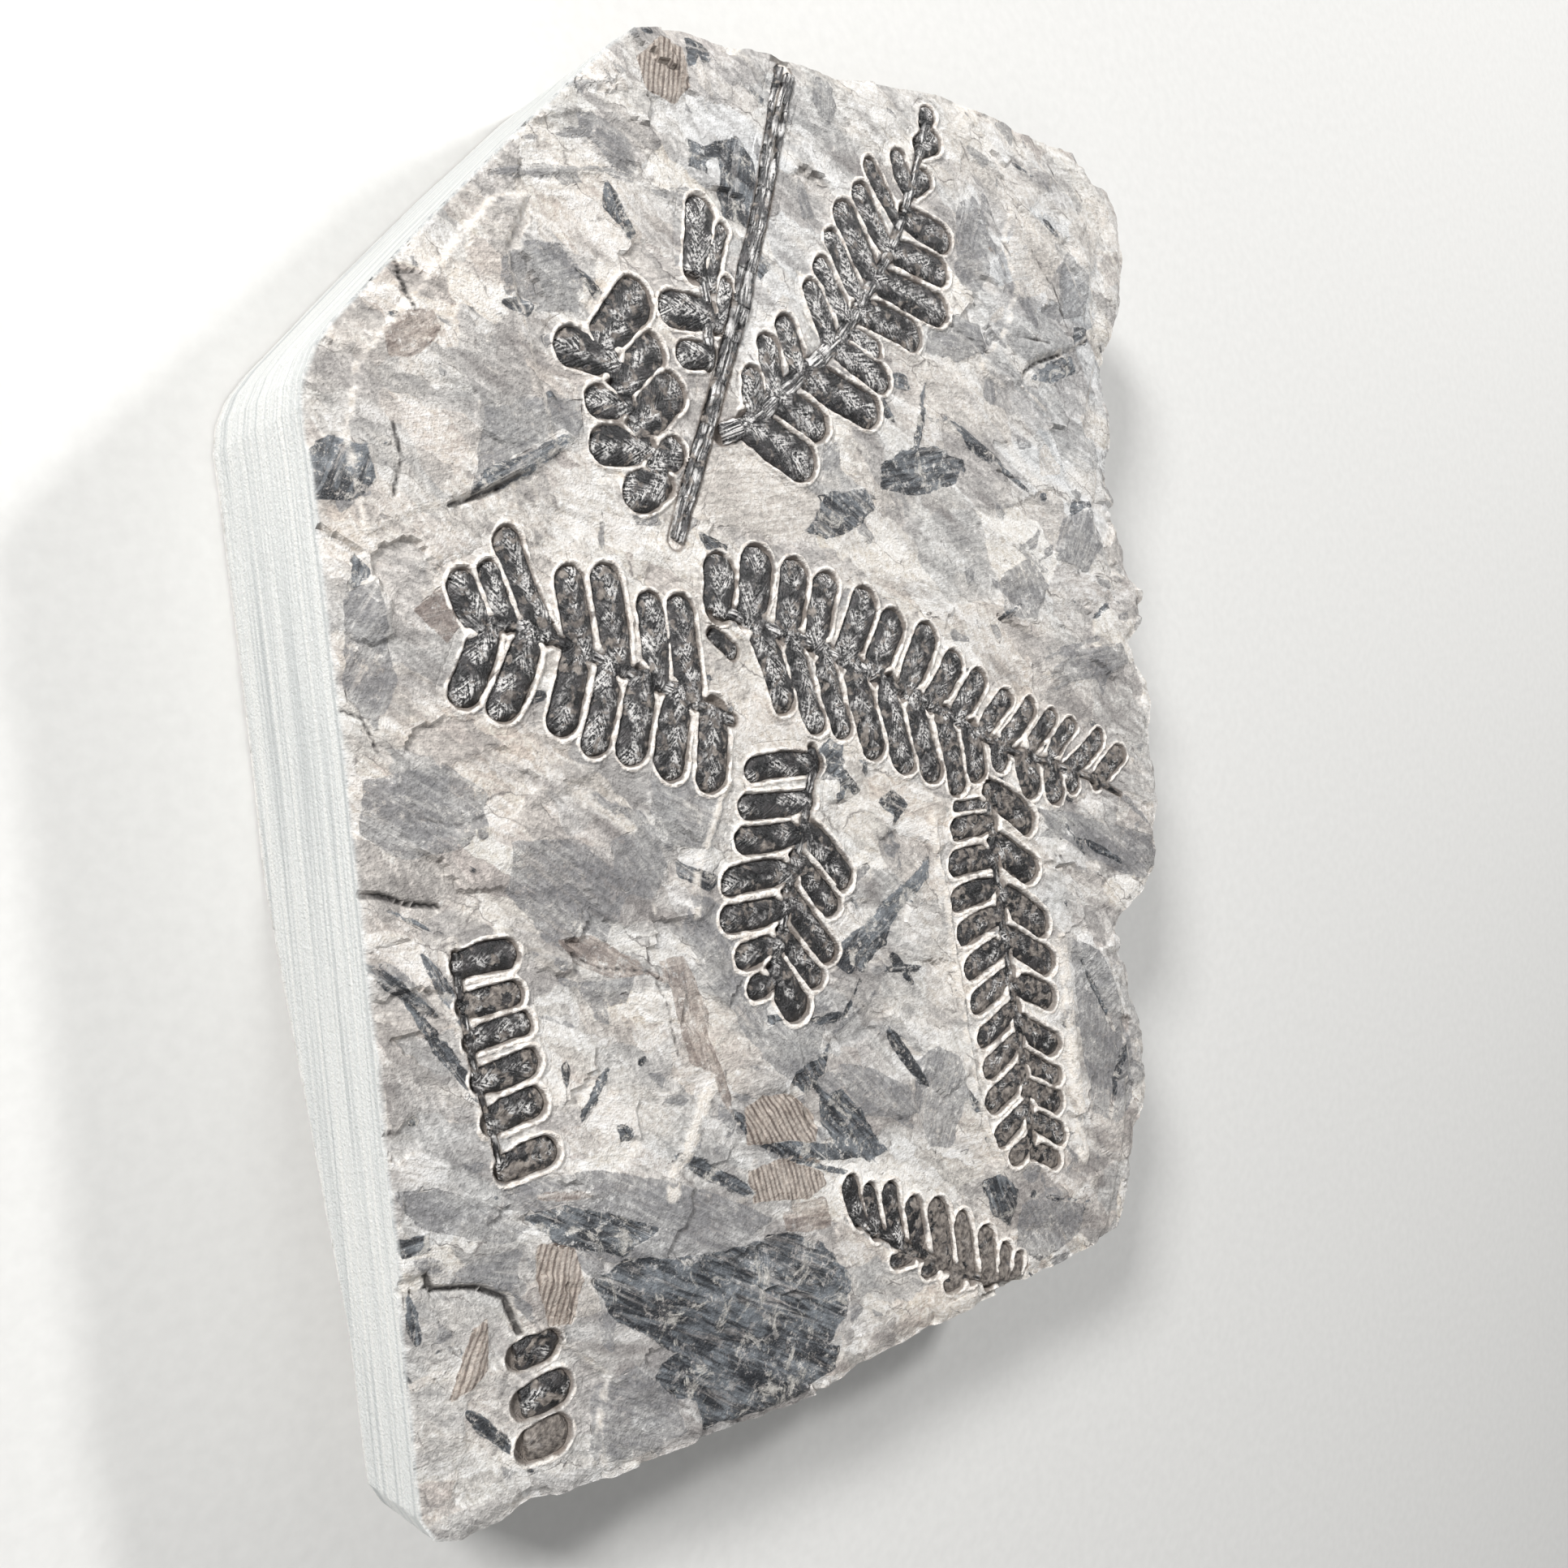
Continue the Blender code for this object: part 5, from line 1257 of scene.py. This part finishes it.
def shale():
    """Split and sawn grey shale: a fine clay stone. Split faces are matt, mottled warm and bluish grey and
    stepped along thin flakes, with satin scraps of leaf film; saw cuts are paler, with fine parallel streaks."""
    material, tree, shader, place = new_material("split_and_sawn_shale")
    grain = add(tree, "UVMap", uv_map="grain")
    # Lumps of 11 x 4 mm lie aslant on the face. Streaks, fibres, shreds of film and saw marks run along the
    # grain: their length and width in millimetres
    lay = add(tree, "Mapping", {"Vector": place, "Rotation": (0, 0, -0.5), "Scale": (11, 4, 8)},
              vector_type="TEXTURE")
    streaks, fibres, film_grain, cuts = [
        add(tree, "Mapping", {"Vector": grain, "Scale": (1 / length, 1 / width, 1)})
        for length, width in ((7, 0.5), (5, 0.7), (16, 1.6), (60, 1.1))]
    # Noise: coordinates, scale (1 / size in millimetres), detail, roughness, distortion
    patch, swell, fine, dust, wander, crumbs, flecks, streak, line, shreds, kerf = [
        add(tree, "TexNoise", {0: where, "Scale": scale, "Detail": detail, "Roughness": rough, "Distortion": warp})
        for where, scale, detail, rough, warp in (
            (lay, 1, 6, 0.5, 0.4), (lay, 0.4, 3, 0.5, 0.6), (place, 1 / 0.8, 4, 0.65, 0), (place, 1 / 0.3, 2, 0.5, 0),
            (place, 1 / 1.8, 5, 0.5, 0), (place, 1 / 1.3, 6, 0.8, 0), (place, 1 / 4.5, 9, 0.78, 0.9),
            (streaks, 1, 4, 0.5, 0), (fibres, 1, 5, 0.5, 0.7), (film_grain, 1, 8, 0.74, 0.8), (cuts, 1, 3, 0.5, 0))]
    # Flakes of about 10 x 4 mm and chips of about 4 x 1.5 mm, both with wandering outlines
    drift = add(tree, "TexNoise", {0: place, "Scale": 1 / 3.2, "Detail": 4}, 1)
    drift = add(tree, "VectorMath", {0: drift, 1: (0.5, 0.5, 0.5)}, operation="SUBTRACT")
    drift = add(tree, "VectorMath", {0: drift, 3: 3.4}, operation="SCALE")
    drift = add(tree, "VectorMath", {0: place, 1: drift}, operation="ADD")
    wide, small = [add(tree, "Mapping", {"Vector": drift, "Rotation": (0, 0, turn), "Scale": size},
                       vector_type="TEXTURE") for turn, size in ((-0.6, (10, 3.6, 8)), (-0.3, (4, 1.4, 3)))]
    flake, chip = [add(tree, "SeparateColor", {0: add(tree, "TexVoronoi", {0: cells, "Scale": 1}, 1)})
                   for cells in (wide, small)]
    seam = add(tree, "TexVoronoi", {0: wide, "Scale": 1}, feature="DISTANCE_TO_EDGE")
    seam = add(tree, "ValToRGB", {0: seam}, stops=((0, 1), (0.035, 0)))
    chance, rare, pale_half, pale_most = [add(tree, "ValToRGB", {0: patch}, stops=stops) for stops in (
        ((0.46, 0), (0.56, 1)), ((0.55, 0), (0.63, 0.8)), ((0.45, 0.6), (0.52, 0)), ((0.46, 0.75), (0.54, 0)))]
    seam = add(tree, "Math", {0: seam, 1: rare}, operation="MULTIPLY")
    # Two strengths of the noise that makes edges wander
    wander = add(tree, "Math", {0: wander, 1: -0.5}, operation="ADD")
    ragged, soft = [add(tree, "Math", {0: wander, 1: share}, operation="MULTIPLY") for share in (0.9, 0.5)]

    # Bare stone: warm and bluish areas, facets of three tones, tone of each flake, chip and fibre
    colour = add(tree, "ValToRGB", {0: swell}, stops=((0.38, "D2CBC4"), (0.62, "C7C4C0")))
    chill = add(tree, "Attribute", out=2, attribute_name="chill")
    chill = add(tree, "Math", {0: chill, 1: 0.75}, operation="MULTIPLY", use_clamp=True)
    colour = add(tree, "Mix", {0: chill, 6: colour, 7: "BDC1C5"}, 2, data_type="RGBA")
    for name, share, tone in (("pale", 0.65, "E2DDD6"), ("cool", 0.7, "AEADAC"), ("dim", 0.45, "97918E")):
        inside = edge_mask(tree, name, ragged, 0, 0.1)
        inside = add(tree, "Math", {0: inside, 1: share}, operation="MULTIPLY")
        colour = add(tree, "Mix", {0: inside, 6: colour, 7: tone}, 2, data_type="RGBA")
    for value, reach, dark, pale, share in ((flake, 0.5, "7E7D7D", "E6E5E3", 0.42),
                                            (chip, 0.5, "858484", "DFDEDD", 0.35),
                                            (line, 0.16, "6F6F70", "FAF9F7", 0.22)):
        tone = add(tree, "ValToRGB", {0: value}, stops=((0.5 - reach, dark), (0.5, "BCBCBB"), (0.5 + reach, pale)))
        colour = add(tree, "Mix", {0: share, 6: colour, 7: tone}, 2, data_type="RGBA", blend_type="OVERLAY")
    # Broad darker and paler areas, painted light and painted shadow along the steps of the facets, and seams
    mottle = add(tree, "Math", {0: patch, 1: -0.5}, operation="ADD")
    mottle = add(tree, "Math", {0: mottle, 1: 4.5, 2: add(tree, "Attribute", out=2, attribute_name="shade")},
                 operation="MULTIPLY_ADD")
    darker_area = add(tree, "MapRange", {"Value": mottle, "From Min": -0.15, "From Max": -1.2, "To Max": 0.8})
    wash = add(tree, "MapRange", {"Value": mottle, "From Min": 0.1, "From Max": 0.9, "To Max": 0.6})
    step = edge_mask(tree, "step", soft, 0.02, 0.12)
    painted_lit_step = add(tree, "Math", {0: step, 1: pale_half}, operation="MULTIPLY")
    painted_shadow_step = add(tree, "Math", {0: step, 1: chance}, operation="MULTIPLY")
    painted_shadow_step = add(tree, "Math", {0: painted_shadow_step, 1: 0.6}, operation="MULTIPLY")
    for share, tone in ((darker_area, "7B7674"), (wash, "DAD4CC"), (painted_lit_step, "E8E1D8"), (painted_shadow_step, "625D5B"),
                        (seam, "6E6967")):
        colour = add(tree, "Mix", {0: share, 6: colour, 7: tone}, 2, data_type="RGBA")

    # Scraps of leaf film, streaked along their own grain, with crumbs of pale stone left on them
    shreds = add(tree, "ValToRGB", {0: shreds}, stops=((0.54, 1), (0.63, 0.35)))
    crumbs = add(tree, "ValToRGB", {0: crumbs}, stops=((0.55, 1), (0.6, 0.2)))
    shreds = add(tree, "Math", {0: shreds, 1: crumbs}, operation="MULTIPLY")
    frayed = add(tree, "Math", {0: patch, 1: 2.4, 2: -1.2}, operation="MULTIPLY_ADD")
    frayed = add(tree, "Math", {0: frayed, 1: ragged}, operation="ADD")
    film = add(tree, "Math", {0: patch, 1: 1.1, 2: -0.55}, operation="MULTIPLY_ADD")
    film = add(tree, "Math", {0: film, 1: line}, operation="ADD")
    for name, dark, pale, amount in (("bare", "BAB4AD", "D6D0C9", 0.7), ("ash", "757577", "949392", 0.8),
                                     ("umber", "6E6059", "A1958C", 0.75), ("slate", "25282D", "6C7176", 0.97)):
        inside = edge_mask(tree, name, frayed if name in ("ash", "slate") else ragged, 0, 0.07)
        whole = add(tree, "Math", {0: inside, 1: shreds}, operation="MULTIPLY")
        whole = add(tree, "Math", {0: whole, 1: amount}, operation="MULTIPLY")
        tone = add(tree, "ValToRGB", {0: film}, stops=((0.38, dark), (0.64, pale)))
        colour = add(tree, "Mix", {0: whole, 6: colour, 7: tone}, 2, data_type="RGBA")
    # Flecks of stone on the slate ones, the last of these
    flecks = add(tree, "ValToRGB", {0: flecks}, stops=((0.54, 0), (0.6, 0.7)))
    flecks = add(tree, "Math", {0: inside, 1: flecks}, operation="MULTIPLY")
    colour = add(tree, "Mix", {0: flecks, 6: colour, 7: "C3BFB8"}, 2, data_type="RGBA")
    # A few brown scraps keep their veins, about a millimetre apart
    veins = add(tree, "TexWave", {0: grain, "Scale": 0.4, "Distortion": 3, "Detail": 2, "Detail Scale": 0.5},
                1, wave_type="BANDS", bands_direction="Y")
    veins = add(tree, "Mix", {0: 0.68, 2: veins, 3: line})
    veins = add(tree, "ValToRGB", {0: veins}, stops=((0.32, "5E5048"), (0.44, "8F8277"), (0.6, "AEA399")))
    inside = edge_mask(tree, "fan", ragged, 0, 0.07)
    inside = add(tree, "Math", {0: inside, 1: 0.85}, operation="MULTIPLY")
    colour = add(tree, "Mix", {0: inside, 6: colour, 7: veins}, 2, data_type="RGBA")

    # Painted light and painted shadow round the edges of the scraps, worn pale lips of the flakes, painted shadow in
    # the open cracks
    brim = edge_mask(tree, "brim", soft, 0, 0.09)
    painted_lit_brim = add(tree, "Math", {0: brim, 1: pale_most}, operation="MULTIPLY")
    painted_shadow_brim = add(tree, "Math", {0: brim, 1: chance}, operation="MULTIPLY")
    painted_shadow_brim = add(tree, "Math", {0: painted_shadow_brim, 1: 0.75}, operation="MULTIPLY")
    lip = edge_mask(tree, "lip", ragged, 0, 0.3)
    worn_lip = add(tree, "ValToRGB", {0: wander}, stops=((0, 0.75), (0.06, 0.1)))
    lip = add(tree, "Math", {0: lip, 1: worn_lip}, operation="MULTIPLY")
    # Painted shadow: the open cracks are coloured near black
    crack = edge_mask(tree, "crack", soft, -0.1, 0.15)
    crack = add(tree, "Math", {0: crack, 1: 0.9}, operation="MULTIPLY")
    for share, tone in ((painted_lit_brim, "EDE6DD"), (painted_shadow_brim, "4A4442"), (lip, "E7E0D7"), (crack, "2B2827")):
        colour = add(tree, "Mix", {0: share, 6: colour, 7: tone}, 2, data_type="RGBA")
    speck = add(tree, "ValToRGB", {0: fine}, stops=((0.25, "595857"), (0.5, "BCBBBA"), (0.75, "FFFEFC")))
    colour = add(tree, "Mix", {0: 0.5, 6: colour, 7: speck}, 2, data_type="RGBA", blend_type="OVERLAY")

    # Round the fronds: stained hollows and cream rims
    under = edge_mask(tree, "film", soft, 0.2, 0.2)
    under = add(tree, "Math", {0: under, 1: 0.8}, operation="MULTIPLY")
    rim = add(tree, "Attribute", out=2, attribute_name="rim")
    rim = add(tree, "Math", {0: wander, 1: 12, 2: rim}, operation="MULTIPLY_ADD")
    rim = add(tree, "MapRange", {"Value": rim, "From Min": 2.7, "From Max": 5.2})
    cream = add(tree, "ValToRGB", {0: fine}, stops=((0.32, "C2B8AE"), (0.5, "EEE7DF"), (0.66, "FBF7F1")))
    # Saw cuts: pale, with streaks parallel to the face and some soil
    sawn = add(tree, "Attribute", out=2, attribute_name="sawn")
    cut = add(tree, "ValToRGB", {0: kerf}, stops=((0.3, "AEB1B1"), (0.5, "D0D1CF"), (0.7, "DEDDD9")))
    soil = add(tree, "ValToRGB", {0: dust}, stops=((0.3, 0.3), (0.6, 0)))
    cut = add(tree, "Mix", {0: soil, 6: cut, 7: "A2A6A5"}, 2, data_type="RGBA")
    for share, tone in ((under, "6F645B"), (rim, cream), (sawn, cut)):
        colour = add(tree, "Mix", {0: share, 6: colour, 7: tone}, 2, data_type="RGBA")
    tree.links.new(colour, shader.inputs["Base Color"])

    satin = edge_mask(tree, "slate", frayed, 0, 0.1)
    satin = add(tree, "Math", {0: satin, 1: shreds}, operation="MULTIPLY")
    satin = add(tree, "ValToRGB", {0: satin}, stops=((0, 0.8), (1, 0.45)))
    tree.links.new(satin, shader.inputs["Roughness"])
    # Tooth of the stone, then its grain, flakes, chips and the sunk edges of scraps
    height = fine
    brim = add(tree, "Math", {0: brim, 1: 0.5}, operation="MULTIPLY")
    for share, value in ((0.4, dust), (0.25, streak), (0.3, flake), (0.22, chip), (brim, 0.1)):
        height = add(tree, "Mix", {0: share, 2: height, 3: value})
    raised = add(tree, "Bump", {"Height": height, "Strength": 1, "Distance": 1.1 * MM})
    tree.links.new(raised, shader.inputs["Normal"])
    return material


def coal():
    """Leaf turned to coal, pressed into a thin film: near black and granular, with painted highlights (pale grains in
    its colour, most along each pinnule's crown) on its crumbs, fine veins that fan from the midrib, and brown stone
    where it has worn away."""
    material, tree, shader, place = new_material("coalified_leaf_film")
    leaf = add(tree, "UVMap", uv_map="leaf")
    worn, painted_glint_share, stalk = [add(tree, "Attribute", out=2, attribute_name=name)
                           for name in ("worn", "painted_glint_share", "stalk")]
    # Veins fan out from the midrib: the coordinate along the leaf falls back with the distance from it
    along, across = [add(tree, "SeparateXYZ", {0: leaf}, axis) for axis in (0, 1)]
    side = add(tree, "Math", {0: across}, operation="ABSOLUTE")
    fan = add(tree, "Math", {0: side, 1: -1.7, 2: along}, operation="MULTIPLY_ADD")
    fan = add(tree, "CombineXYZ", {0: fan, 1: across})
    fan = add(tree, "Mapping", {"Vector": fan, "Scale": (1 / 0.46, 1 / 1.9, 1)})
    ribs = add(tree, "Mapping", {"Vector": leaf, "Scale": (1 / 5, 1 / 0.36, 1)})
    # Noise: coordinates, scale (1 / size in millimetres), detail, roughness, distortion
    crumb, blotch, patch, bare, soil, vein, ribs = [
        add(tree, "TexNoise", {0: where, "Scale": scale, "Detail": detail, "Roughness": rough, "Distortion": warp})
        for where, scale, detail, rough, warp in (
            (place, 1 / 0.36, 3, 0.65, 0), (place, 1 / 1.9, 4, 0.5, 0.5), (place, 1 / 2.6, 3, 0.5, 0),
            (place, 1 / 1.5, 5, 0.5, 0.4), (place, 1 / 0.8, 4, 0.5, 0), (fan, 1, 2, 0.5, 0), (ribs, 1, 4, 0.5, 0))]
    vein = add(tree, "Mix", {0: stalk, 2: vein, 3: ribs})
    share = add(tree, "MapRange", {"Value": stalk, "To Min": 0.45, "To Max": 0.8})
    grain = add(tree, "Mix", {0: share, 2: crumb, 3: vein})

    # Black film; painted highlights on its grains, clustered in patches and along each pinnule's crown; bare stone
    # where it is worn
    colour = add(tree, "ValToRGB", {0: blotch}, stops=((0.36, "0A0A0B"), (0.5, "1B1A1B"), (0.66, "3E3B3B")))
    painted_glint_cover = add(tree, "Math", {0: patch, 1: -0.54}, operation="ADD")
    painted_glint_cover = add(tree, "Math", {0: painted_glint_cover, 1: 6, 2: painted_glint_share}, operation="MULTIPLY_ADD")
    # More painted highlight towards each pinnule's middle, where its crown would catch the light
    crown = add(tree, "Math", {0: side, 1: -0.6, 2: 0.5}, operation="MULTIPLY_ADD")
    painted_glint_cover = add(tree, "Math", {0: painted_glint_cover, 1: crown}, operation="ADD", use_clamp=True)
    # Painted highlight: pale grains in the film's colour, where the cover allows
    painted_glint = add(tree, "ValToRGB", {0: grain}, stops=((0.47, 0), (0.555, 1)))
    painted_glint = add(tree, "Math", {0: painted_glint, 1: painted_glint_cover}, operation="MULTIPLY")
    bare = add(tree, "Math", {0: bare, 1: -0.66}, operation="ADD")
    bare = add(tree, "Math", {0: worn, 1: 0.32, 2: bare}, operation="MULTIPLY_ADD")
    bare = add(tree, "MapRange", {"Value": bare, "From Min": -0.04, "From Max": 0.02})
    bare = add(tree, "Math", {0: bare, 1: 0.85}, operation="MULTIPLY")
    soil = add(tree, "ValToRGB", {0: soil}, stops=((0.36, "4A423D"), (0.64, "9A9188")))
    for share, tone in ((painted_glint, "DEDBD8"), (bare, soil)):
        colour = add(tree, "Mix", {0: share, 6: colour, 7: tone}, 2, data_type="RGBA")
    tree.links.new(colour, shader.inputs["Base Color"])
    gloss = add(tree, "MapRange", {"Value": crumb, "From Min": 0.35, "From Max": 0.7, "To Min": 0.27,
                                   "To Max": 0.42})
    gloss = add(tree, "Mix", {0: bare, 2: gloss, 3: 0.7})
    tree.links.new(gloss, shader.inputs["Roughness"])
    shader.inputs["IOR"].default_value = 1.62
    raised = add(tree, "Bump", {"Height": grain, "Strength": 1, "Distance": 0.45 * MM})
    tree.links.new(raised, shader.inputs["Normal"])
    return material


def paper():
    """Matt studio paper for the floor: off white, with a faint tooth."""
    material, tree, shader, place = new_material("matt_studio_paper")
    tooth = add(tree, "TexNoise", {0: place, "Scale": 1 / 2.0, "Detail": 3.0})
    colour = add(tree, "ValToRGB", {0: tooth}, stops=((0.3, "D5D4D1"), (0.7, "DAD9D6")))
    tree.links.new(colour, shader.inputs["Base Color"])
    shader.inputs["Roughness"].default_value = 0.9
    return material


def wear(thing, material):
    """Gives a piece its material."""
    thing.data.materials.clear()
    thing.data.materials.append(material)


# ------------------------------------------------------------------------------------------------
# Studio

def studio():
    """A pale floor, soft lights and the camera."""
    deselect()
    bpy.ops.mesh.primitive_plane_add(size=4, location=(0, 0, -0.0002))
    floor = bpy.context.object
    floor.name = "studio_floor"
    floor.data.materials.append(paper())
    for name, place, size, power in (("key", (-0.6, 0.42, 0.46), 0.16, 8.2), ("glint", (0.52, 0.4, 0.64), 0.1, 4.6),
                                     ("fill", (-0.5, -0.5, 0.8), 0.5, 2.2)):
        bpy.ops.object.light_add(type="AREA", location=place)
        light = bpy.context.object
        light.name = name
        light.data.size = size
        light.data.energy = power
        light.rotation_euler = (-Vector(place)).to_track_quat("-Z", "Y").to_euler()
    world = bpy.data.worlds.new("studio")
    world.use_nodes = True
    world.node_tree.nodes["Background"].inputs[0].default_value = (0.95, 0.97, 1.0, 1.0)
    world.node_tree.nodes["Background"].inputs[1].default_value = 0.18
    bpy.context.scene.world = world
    bpy.context.scene.view_settings.view_transform = "Standard"
    camera = bpy.data.cameras.new("camera")
    camera.lens = 34.66
    camera.sensor_width = 36.0
    camera.clip_start = 0.01
    holder = bpy.data.objects.new("camera", camera)
    bpy.context.scene.collection.objects.link(holder)
    right, up, back = (0.7607, -0.0926, 0.6425), (0.0919, 0.9952, 0.0346), (-0.6426, 0.0328, 0.7655)
    turn = Matrix((right, up, back)).transposed()
    holder.matrix_world = Matrix.Translation((-0.1474, -0.0023, 0.1888)) @ turn.to_4x4()
    bpy.context.scene.camera = holder


def main():
    """Builds every piece."""
    stone, film = shale(), coal()
    slab = shape_slab()
    wear(slab, stone)
    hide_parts("stone_slab")
    prototype = strip("strip")
    skins = {name: frond_film(f"{name}_film", frond, prototype, 30 + number)
             for number, (name, frond) in enumerate(FRONDS.items())}
    skins["main_stem"] = stem_film(prototype)
    for name, skin in skins.items():
        wear(skin, film)
        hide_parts(name)
    bpy.data.objects.remove(prototype, do_unlink=True)
    beds = [imprint(name, frond) for name, frond in IMPRINTS.items()]
    for bed in beds:
        wear(bed, stone)
    for piece in [slab, *skins.values(), *beds]:
        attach(piece, "root")
    studio()


main()
